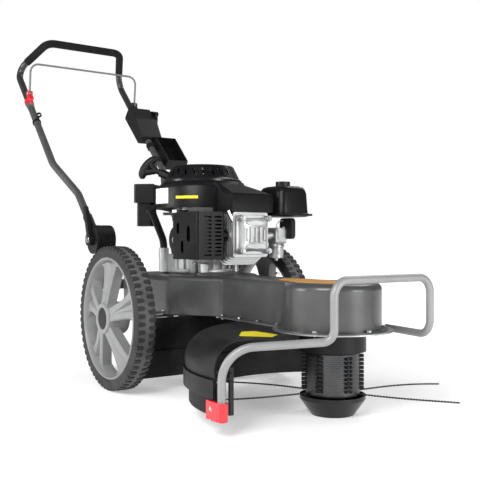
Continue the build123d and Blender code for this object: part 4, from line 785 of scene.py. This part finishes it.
# %% [markdown]
# The remaining covers already have the right shape, but their edges are knife sharp. A welded copy
# takes a bevel, and stands for its node.

# %% Rounded covers
softened("rear_cover", "chassis", satin_plastic, 0.006)
softened("air_filter_box", "chassis", black_plastic, 0.002)
softened("control_box", "handle", black_plastic, 0.003)
softened("storage_caddy", "handle", black_plastic, 0.0015)
softened("carburettor", "chassis", cast_alloy, 0.0025)
softened("engine_block", "chassis", cast_alloy, 0.0015)

# %% [markdown]
# The tank is blow moulded: it tapers a little, its shoulders are round, and its two halves meet in
# a lipped seam. Rings of one rounded outline, each a little smaller, follow that shape.

# %% Tank and its seam
tank_low, tank_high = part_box("fuel_tank")
tank_mid = ((tank_low[0] + tank_high[0]) / 2, (tank_low[1] + tank_high[1]) / 2)
tank_x, tank_y = tank_high[0] - tank_low[0], tank_high[1] - tank_low[1]
bm = bmesh.new()
rings = []
levels = ((tank_low[2], 0.004, 0.018), (tank_low[2] + 0.003, 0, 0.022), (tank_low[2] + 0.070, 0.003, 0.024),
          (tank_high[2] - 0.010, 0.006, 0.026), (tank_high[2] - 0.004, 0.010, 0.026),
          (tank_high[2] - 0.001, 0.018, 0.024), (tank_high[2], 0.030, 0.018))
for z, inset, corner in levels:
    rings.append([Vector((tank_mid[0] + x, tank_mid[1] + y, z))
                  for x, y in rounded(tank_x - 2 * inset, tank_y - 2 * inset, corner, 8)])
bridge(bm, rings)
finished("tank_shell", bm, satin_plastic, "chassis", angle=50, replaced=("fuel_tank",))
bm = bmesh.new()
rings = []
for z, grow in ((0.0015, 0), (0.0030, 0.0035), (0.0065, 0.0050), (0.0095, 0.0035), (0.0110, 0)):
    rings.append([Vector((tank_mid[0] + x, tank_mid[1] + y, tank_low[2] + z))
                  for x, y in rounded(tank_x + 2 * grow, tank_y + 2 * grow, 0.022 + grow, 8)])
bridge(bm, rings)
slab(bm, rounded(0.018, 0.018, 0.008), 0.006,
     Matrix.Translation((tank_high[0] - 0.002, tank_low[1] + 0.006, tank_low[2] + 0.003)))
finished("tank_seam", bm, satin_plastic, "chassis", angle=50)
print("tank", round(tank_x, 3), "by", round(tank_y, 3), "m")

# %% [markdown]
# The cap has grip ribs and the starter's cover has cooling slats. Both are a ring of one small bar.

# %% Cap ribs and starter slats
CRANK_AT_SLATS = Matrix.Translation((CRANK.x, CRANK.y, 0.6230))
CAP_RIBS, SLATS = 28, 64
cap_low, cap_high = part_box("fuel_cap")
cap_mid = ((cap_low[0] + cap_high[0]) / 2, (cap_low[1] + cap_high[1]) / 2)
bm = bmesh.new()
slab(bm, rounded(0.0026, 0.0026, 0.0008, 2), cap_high[2] - cap_low[2] - 0.002, Matrix.Identity(4))
ring_of("cap_ribs", bm, CAP_RIBS, (cap_high[0] - cap_low[0]) / 2 - 0.0006, gloss_plastic, "fuel_cap",
        Matrix.Translation((*cap_mid, cap_low[2] + 0.001)))
bm = bmesh.new()
slat = ((-0.0015, -0.0013), (0.0012, -0.0009), (0.0012, 0.0009), (-0.0015, 0.0013))
bridge(bm, [[Vector((x + dx, dy, z)) for dx, dy in slat]
            for x, z in ((0.00825, -0.0165), (-0.00825, 0.0165))])
ring_of("starter_slats", bm, SLATS, 0.1025, gloss_plastic, "chassis", CRANK_AT_SLATS)
print("cap ribs", CAP_RIBS, "starter slats", SLATS)

# %% [markdown]
# The starter's grip is a bent bar on a forked neck. A sweep with a radius for each point swells
# the middle and rounds the ends.

# %% Pull grip
PULL = Vector((-0.765, 0.51, 0.39)).normalized()
GRIP = Vector((-0.084, 0.150, 0.642))
UPRIGHT = PULL.cross(Vector((0, 0, 1))).cross(PULL).normalized()
bm = bmesh.new()
bar = []
for k in range(13):
    t = -1 + k / 6
    bar.append(GRIP + UPRIGHT * (0.039 * t) + PULL * (0.005 - 0.014 * t * t - 0.009 * t))
swept(bm, bar, [0.0062, 0.0108] + [0.0128] * 9 + [0.0108, 0.0062], sides=16)
for fork in (-1, 1):
    swept(bm, [GRIP + UPRIGHT * 0.016 * fork, GRIP - PULL * 0.012 + UPRIGHT * 0.010 * fork,
               GRIP - PULL * 0.028 + UPRIGHT * 0.002 * fork], (0.0120, 0.0105, 0.0088), sides=14)
swept(bm, [GRIP - PULL * 0.020, GRIP - PULL * 0.0415], (0.0088, 0.0084), sides=14)
finished("pull_grip", bm, black_plastic, "starter_grip", angle=50, replaced=("starter_grip",))
print("grip at", tuple(round(v, 3) for v in GRIP))

# %% [markdown]
# ## Castings
#
# The valve cover is the brightest part of the machine: a pressed alloy lid with pinched sides,
# four bolt bosses and raised lobes. Its sides pull in between the bosses, which a bevelled box
# can't do, so one formula gives the pinched outline for every level and lobe.

# %% Where the cylinder is
CYL = Vector((0.084, -0.172, 0.432))


def cover_plane(depth):
    """Matrix that lays an outline on the cylinder's front, depth metres out."""
    return seat((CYL.x, CYL.y - depth, CYL.z), (0, -1, 0), (1, 0, 0))


# %% A pinched outline
def pinched(half_x, half_z, pinch, steps=9):
    """A rounded outline whose four sides pull in between the corners."""
    points = []
    for k in range(4 * steps):
        side_turn, along = divmod(k, steps)
        t = -1 + 2 * along / steps
        dent = 1 - pinch * math.cos(t * math.pi / 2)
        x, y = ((1 * dent, t), (-t, 1 * dent), (-1 * dent, -t), (t, -1 * dent))[side_turn]
        shrink = 1 - 0.09 * (abs(x) * abs(y)) ** 3
        points.append((x * half_x * shrink, y * half_z * shrink))
    return points


# %% The valve cover
bm = bmesh.new()
slab(bm, rounded(0.110, 0.112, 0.016), 0.006, cover_plane(0.0002))
levels = [(0.0060, 0.052, 0.053, 0.10), (0.0160, 0.049, 0.050, 0.14), (0.0200, 0.045, 0.046, 0.16),
          (0.0215, 0.040, 0.041, 0.16)]
rings = []
for depth, half_x, half_z, pinch in levels:
    place = cover_plane(depth)
    rings.append([place @ Vector((x, y, 0)) for x, y in pinched(half_x, half_z, pinch)])
bridge(bm, rings)
for x in (-0.045, 0.045):
    for z in (-0.046, 0.046):
        place = seat((CYL.x + x, CYL.y - 0.005, CYL.z + z), (0, -1, 0))
        slab(bm, rounded(0.017, 0.017, 0.0084, 6), 0.0226, place)
finished("valve_lid", bm, cast_alloy, "chassis", bevel=0.0012, angle=25, replaced=("valve_cover",))
print("levels of the lid", len(levels))

# %% Lobes on the valve cover
bm = bmesh.new()
for x, wide, tall in ((-0.016, 0.010, 0.052), (0.0, 0.007, 0.046), (0.016, 0.010, 0.052)):
    slab(bm, pinched(wide / 2, tall / 2, 0.18, 5), 0.0046,
         cover_plane(0.0212) @ Matrix.Translation((x, 0, 0)))
for z in (-0.033, 0.033):
    slab(bm, pinched(0.026, 0.0055, -0.25, 5), 0.0040, cover_plane(0.0205) @ Matrix.Translation((0, z, 0)))
for x in (-0.030, 0.030):
    slab(bm, pinched(0.0035, 0.020, 0.3, 5), 0.0036, cover_plane(0.0205) @ Matrix.Translation((x, 0, 0)))
finished("valve_lid_lobes", bm, cast_alloy, "chassis", bevel=0.0012, angle=25)
print("cylinder front at y", round(CYL.y, 3))

# %% [markdown]
# Cooling fins are thin plates round the cylinder. Each further one is a little larger, so a plain
# loop is clearer here than a tree.

# %% Cylinder fins
FINS = 7
bm = bmesh.new()
for k in range(FINS):
    wide = 0.116 + 0.0030 * k
    tall = 0.118 + 0.0052 * k
    slab(bm, rounded(wide, tall, 0.020), 0.0024,
         seat((CYL.x, -0.1690 + 0.0100 * k, 0.4940 - tall / 2), (0, -1, 0)))
finished("cylinder_fins", bm, cast_alloy, "chassis", bevel=0.0005)
print("cylinder fins", FINS)

# %% [markdown]
# The sump is a casting with a flange, four bolt bosses and a ring of stiffening posts.

# %% Sump
SUMP_FOOT, SUMP_POSTS, BOSS_R = 0.3212, 18, 0.100
bm = bmesh.new()
slab(bm, rounded(0.012, 0.010, 0.003, 3), 0.046, Matrix.Identity(4))
ring_of("sump_posts", bm, SUMP_POSTS, 0.0895, cast_alloy, "chassis",
        Matrix.Translation((CRANK.x, CRANK.y, 0.3255)))
bm = bmesh.new()
flange = [(0.0700, SUMP_FOOT), (0.0985, SUMP_FOOT), (0.0985, 0.3285), (0.0900, 0.3310), (0.0700, 0.3310)]
turned(bm, flange, CRANK, "Z", 64)
for corner in (45, 135, 225, 315):
    aim = math.radians(corner)
    at = CRANK + Vector((BOSS_R * math.cos(aim), BOSS_R * math.sin(aim), SUMP_FOOT))
    slab(bm, rounded(0.026, 0.026, 0.0125, 6), 0.022, Matrix.Translation(at))
slab(bm, rounded(0.030, 0.014, 0.003), 0.026, Matrix.Translation((0.0, -0.046, SUMP_FOOT)))
finished("sump_flange", bm, cast_alloy, "chassis", bevel=0.0012)
print("sump posts", SUMP_POSTS)

# %% [markdown]
# Below the carburettor hangs its float bowl, turned in profile, with a drain screw under it and a
# bent spring wire beside it.

# %% Carburettor bowl
BOWL_AT = (0.1960, -0.1400, 0)
bm = bmesh.new()
bowl = [(0.0005, 0.3660), (0.0060, 0.3630), (0.0150, 0.3640), (0.0190, 0.3670), (0.0215, 0.3760),
        (0.0215, 0.3960), (0.0236, 0.3970), (0.0236, 0.4030), (0.0205, 0.4080), (0.0005, 0.4080)]
turned(bm, bowl, BOWL_AT, "Z", 40)
turned(bm, [(0.0005, 0.3560), (0.0050, 0.3560), (0.0055, 0.3640), (0.0005, 0.3640)], BOWL_AT, "Z", 6)
slab(bm, rounded(0.034, 0.052, 0.006), 0.005, Matrix.Translation((0.196, -0.141, 0.4460)))
for x, y in ((0.184, -0.160), (0.208, -0.160)):
    turned(bm, [(0.0005, 0.4500), (0.0040, 0.4500), (0.0040, 0.4560), (0.0005, 0.4560)], (x, y, 0), "Z", 6)
slab(bm, rounded(0.010, 0.034, 0.004), 0.0022, seat((0.188, -0.1655, 0.4360), (0, -1, 0)))
spring_wire = [(0.180, -0.1670, 0.4420), (0.176, -0.1680, 0.4620), (0.186, -0.1680, 0.4720),
               (0.204, -0.1640, 0.4740)]
swept(bm, spring_wire, 0.0014, sides=8)
finished("carburettor_bowl", bm, cast_alloy, "chassis", bevel=0.0006)
print("bowl at", BOWL_AT)

# %% [markdown]
# A bright stay stands beside the valve cover, and a bracket holds the muffler's guard.

# %% Lifting stay and guard bracket
bm = bmesh.new()
stay = [(0.014, -0.158, 0.500), (0.024, -0.162, 0.478), (0.036, -0.165, 0.456)]
swept(bm, stay, (0.0062, 0.0062, 0.0052), sides=14)
finished("lifting_stay", bm, bright_steel, "chassis")
bm = bmesh.new()
slab(bm, rounded(0.058, 0.045, 0.004), 0.012, Matrix.Translation((-0.048, -0.112, 0.4962)))
finished("guard_bracket", bm, tube_paint, "chassis", bevel=0.001)
print("stay points", len(stay))

# %% [markdown]
# ## Plain coloured films
#
# A few films sit on the covers and the deck. They stay plain, without any lettering. Paint in a
# material would need a mask for each place, so each is a thin sheet that follows the surface below.


# %% Films on the housing
def wrapped_film(name, material, start, end, low, high, radius):
    """A film on a round wall between two angles and two heights."""
    bm = bmesh.new()
    turns = [math.radians(start + (end - start) * k / 12) for k in range(13)]
    rings = [[CRANK + Vector((r * math.cos(a), r * math.sin(a), z)) for r, z in (
        (radius, low), (radius + 0.0004, low), (radius + 0.0004, high), (radius, high))] for a in turns]
    bridge(bm, rings)
    finished(name, bm, material, "chassis")


wrapped_film("white_film_patch", white_film, 171, 197, 0.525, 0.570, 0.1501)
wrapped_film("yellow_film_strip", yellow_film, 208, 234, 0.5375, 0.5455, 0.1501)
print("films on the housing", 2)

# %% Films on the deck and the shield
FILM = 0.0004
DECK_TOP, SHIELD_TOP = 0.3150, 0.2010
bm = bmesh.new()
deck_outline = [(0.012, -0.612), (-0.022, -0.520), (0.010, -0.400), (0.070, -0.345), (0.098, -0.400),
                (0.106, -0.520), (0.072, -0.612)]
slab(bm, deck_outline, FILM, Matrix.Translation((0, 0, DECK_TOP)))
finished("deck_film", bm, orange_film, "chassis")
bm = bmesh.new()
slab(bm, [(-0.197, -0.531), (-0.150, -0.470), (-0.118, -0.478), (-0.111, -0.560), (-0.146, -0.586)][::-1],
     FILM, Matrix.Translation((0, 0, SHIELD_TOP)))
finished("shield_film", bm, yellow_film, "chassis")
print("film thickness", FILM)

# %% [markdown]
# ## The cutting head
#
# The drum is dark metal with fine turned rings, and six columns of nine small hooks hold the
# lines. The row tree makes a column of one hook, and the ring tree repeats it round the drum.

# %% Ringed drum
HEAD = Vector((0.058, -0.553, 0))
DRUM_R, GROOVES, COLUMNS, HOOKS = 0.0648, 20, 6, 9
bm = bmesh.new()
profile = [(0.0300, 0.1498), (0.0300, 0.0482), (0.0640, 0.0482)]
for k in range(GROOVES):
    z = 0.0500 + k * 0.0049
    profile += [(DRUM_R, z), (DRUM_R, z + 0.0036), (0.0640, z + 0.0040), (0.0640, z + 0.0046)]
profile += [(DRUM_R, 0.1485), (0.0640, 0.1498)]
turned(bm, profile, HEAD, "Z", 72)
finished("ringed_drum", bm, gunmetal, "cutting_head", angle=40, replaced=("head_drum",))
print("drum grooves", GROOVES)

# %% Drum hooks
bm = bmesh.new()
hook = [(-0.002, -0.0085), (0.0088, -0.0075), (0.0098, -0.0040), (0.0060, -0.0020), (0.0060, 0.0020),
        (0.0098, 0.0040), (0.0088, 0.0075), (-0.002, 0.0085)]
slab(bm, hook, 0.0062, Matrix.Identity(4))
values = {"Count": HOOKS, "Step": (0, 0, 0.00956), "Part": small_part(bm), "Material": black_plastic}
bm = bmesh.new()
bm.from_mesh(grown(row_tree, values))
ring_of("drum_hooks", bm, COLUMNS, DRUM_R, black_plastic, "cutting_head",
        Matrix.Translation((HEAD.x, HEAD.y, 0.0600)) @ Matrix.Rotation(math.radians(22), 4, "Z"))
print("drum hooks", COLUMNS * HOOKS)

# %% [markdown]
# Cutting line is a flat nylon strip with a twist. An oval section that turns as it goes along its
# path gives the twist as real geometry, which a bump could not show against the floor.

# %% The path of one line
LINE_STEPS, LINE_START, LINE_REACH, LINE_Z = 150, 0.066, 0.2312, 0.052


def line_path(turn_at, droop):
    """Points from the drum outwards at an angle in degrees, with a slight bend and droop."""
    path = []
    for k in range(LINE_STEPS + 1):
        t = k / LINE_STEPS
        bend = math.radians(turn_at) + math.radians(2.4) * math.sin(2.2 * t)
        reach, rise = LINE_START + LINE_REACH * t, LINE_Z + droop * math.sin(math.pi * t)
        path.append(HEAD + Vector((reach * math.cos(bend), reach * math.sin(bend), rise)))
    return path


# %% The twisted section
LINE_WIDE, LINE_THIN, STEPS_A_TURN = 0.0026, 0.0015, 9


def line_section(path, k):
    """The oval section at point k of a path, turned a little further at each point."""
    along = (path[min(k + 1, LINE_STEPS)] - path[max(k - 1, 0)]).normalized()
    side_way = along.cross(Vector((0, 0, 1))).normalized()
    up, twist = side_way.cross(along), 2 * math.pi * k / STEPS_A_TURN
    ring = []
    for q in range(8):
        x, y = LINE_WIDE * math.cos(math.pi * q / 4), LINE_THIN * math.sin(math.pi * q / 4)
        ring.append(path[k] + side_way * (x * math.cos(twist) - y * math.sin(twist))
                    + up * (x * math.sin(twist) + y * math.cos(twist)))
    return ring


# %% Twisted lines
bm = bmesh.new()
for turn_at, droop in ((-17, 0.004), (-61, -0.002), (119, 0.003), (163, -0.002)):
    path = line_path(turn_at, droop)
    bridge(bm, [line_section(path, k) for k in range(len(path))])
finished("twisted_lines", bm, line_nylon, "cutting_head", angle=60, replaced=("trimmer_lines",))
print("turns in each line", LINE_STEPS // STEPS_A_TURN)

# %% [markdown]
# ## The shield's band
#
# The shield's band has short hooks along its top edge and fine ribs below them.
# The same ring tree places both, over the arc that the shield covers.

# %% Shield band
BAND_FROM, BAND_TO, BAND_HOOKS, BAND_RIBS = 56, 181, 18, 90
bm = bmesh.new()
bar = [(-0.001, -0.0080), (0.0030, -0.0080), (0.0030, 0.0080), (-0.001, 0.0080)]
slab(bm, bar, 0.0060, Matrix.Identity(4))
tab = [(-0.001, -0.0080), (0.0030, -0.0080), (0.0030, -0.0040), (-0.001, -0.0040)]
slab(bm, tab, 0.0120, Matrix.Translation((0, 0, -0.0090)))
ring_of("band_hooks", bm, BAND_HOOKS, 0.3550, black_plastic, "chassis",
        Matrix.Translation((HEAD.x, HEAD.y, 0.1140)), start=BAND_FROM, end=BAND_TO)
bm = bmesh.new()
rib = [(-0.001, -0.0012), (0.0016, -0.0008), (0.0016, 0.0008), (-0.001, 0.0012)]
slab(bm, rib, 0.0160, Matrix.Identity(4))
ring_of("band_ribs", bm, BAND_RIBS, 0.3560, black_plastic, "chassis",
        Matrix.Translation((HEAD.x, HEAD.y, 0.0825)), start=BAND_FROM, end=BAND_TO)
print("band hooks", BAND_HOOKS, "ribs", BAND_RIBS)

# %% [markdown]
# ## Handle details
#
# The handle leans back, so its fittings are easiest to place by the distance along it from the
# hinge. The dial has a yellow arc on its rim and a white pointer.

# %% Places on the handle
HINGE_Y, HINGE_Z = 0.345, 0.419
LEAN = math.radians(44.4)


def on_handle(x, s, n):
    """Point at distance s along the handle from its hinge and n ahead of it, in metres."""
    return Vector((x, HINGE_Y + s * math.cos(LEAN) - n * math.sin(LEAN),
                   HINGE_Z + s * math.sin(LEAN) + n * math.cos(LEAN)))


# %% Marks on the dial
DIAL_S, DIAL_N, DIAL_R = 0.690, 0.012, 0.0382
bm = bmesh.new()
rings = []
for k in range(13):
    turn_at = math.radians(62 + 76 * k / 12) - math.pi / 2 + 0.9
    rings.append([on_handle(x, DIAL_S + r * math.cos(turn_at), DIAL_N + r * math.sin(turn_at))
                  for x, r in ((0.2775, DIAL_R), (0.2845, DIAL_R), (0.2845, 0.0388), (0.2775, 0.0388))])
bridge(bm, rings)
finished("dial_mark", bm, yellow_film, "control_dial")
bm = bmesh.new()
slab(bm, rounded(0.012, 0.005, 0.002), 0.0008, seat(on_handle(0.2853, 0.722, DIAL_N), (1, 0, 0), (0, 1, 1)))
finished("dial_pointer", bm, white_film, "control_dial")
print("dial at", tuple(round(v, 3) for v in on_handle(0.2853, DIAL_S, DIAL_N)))

# %% [markdown]
# ## Screws and knuckle ribs
#
# The red sleeve has two screws in its side plate. The plate of a copy is thinned by two
# millimetres, so that the screw heads end where the plate did. Each clamp lever has a bright nut,
# and the knuckles carry three low ribs.


# %% A screw
def screw(bm, at, towards, radius=0.0055, tall=0.0035):
    """A low hexagon head on a washer."""
    place = seat(at, towards, (0, 0, 1) if abs(towards[0]) > 0.9 else (1, 0, 0))
    slab(bm, rounded(2.5 * radius, 2.5 * radius, 1.25 * radius, 4), 0.0010, place)
    corner_angles = [math.radians(60 * k) for k in range(6)]
    slab(bm, [(radius * math.cos(a), radius * math.sin(a)) for a in corner_angles], tall, place)


# %% Sleeve and its screws
SCREW_TALL = 0.0020
sleeve = softened("bumper_sleeve", "chassis", red_plastic, 0.0012)
sleeve_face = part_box("bumper_sleeve")[0][0] + SCREW_TALL
for vertex in sleeve.data.vertices:
    vertex.co.x = max(vertex.co.x, sleeve_face)
bm = bmesh.new()
for z in (0.0335, 0.0605):
    screw(bm, (sleeve_face, -0.5790, z), (-1, 0, 0), 0.0042, SCREW_TALL)
finished("sleeve_screws", bm, bright_steel, "chassis")
print("sleeve face at x", round(sleeve_face, 4))

# %% Lever nuts
for side, name in SIDES:
    bm = bmesh.new()
    screw(bm, (side * 0.1998, HINGE_Y, HINGE_Z), (side, 0, 0), 0.0085, 0.0050)
    finished(name + "_lever_nut", bm, bright_steel, name + "_clamp_lever", bevel=0.0006)
print("nuts on the levers", len(SIDES))

# %% Knuckle ribs
RIB_R, RIB_FOOT = 0.0468, 0.0440
for node, body, name in (("pivot_sockets", "handle", "socket_ribs"),
                         ("handle_brackets", "chassis", "bracket_ribs")):
    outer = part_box(node)[1][0]
    bm = bmesh.new()
    for side in (-1, 1):
        for at in (0.0040, 0.0125, 0.0210):
            rib = [(RIB_FOOT, at), (RIB_R, at + 0.0006), (RIB_R, at + 0.0054), (RIB_FOOT, at + 0.0060)]
            turned(bm, [(r, side * (outer - x)) for r, x in rib], (0, HINGE_Y, HINGE_Z), "X", 72)
    finished(name, bm, black_plastic, body, angle=40)
print("ribs on each knuckle", 3)

# %% A bolt on the deck
bm = bmesh.new()
screw(bm, (0.200, -0.139, DECK_TOP), (0, 0, 1), 0.0080, 0.0070)
finished("deck_top_bolt", bm, bright_steel, "chassis", bevel=0.0006)
print("bolt head on the deck at z", DECK_TOP)

# %% [markdown]
# ## Plain stage
#
# The floor is one large pale sheet, a hair below the tyres' contact. Its finish glows more with
# distance, a painted light that brightens the far floor and keeps it dimmer near the machine, so that it
# fades into the white room without an edge.

# %% Floor
FLOOR_HALF, FLOOR_DROP = 14, 0.0005
bm = bmesh.new()
bmesh.ops.create_grid(bm, x_segments=1, y_segments=1, size=FLOOR_HALF,
                      matrix=Matrix.Translation((0, 0, -FLOOR_DROP)))
floor = finished("floor", bm, floor_white, None)
print("floor", 2 * FLOOR_HALF, "m across")
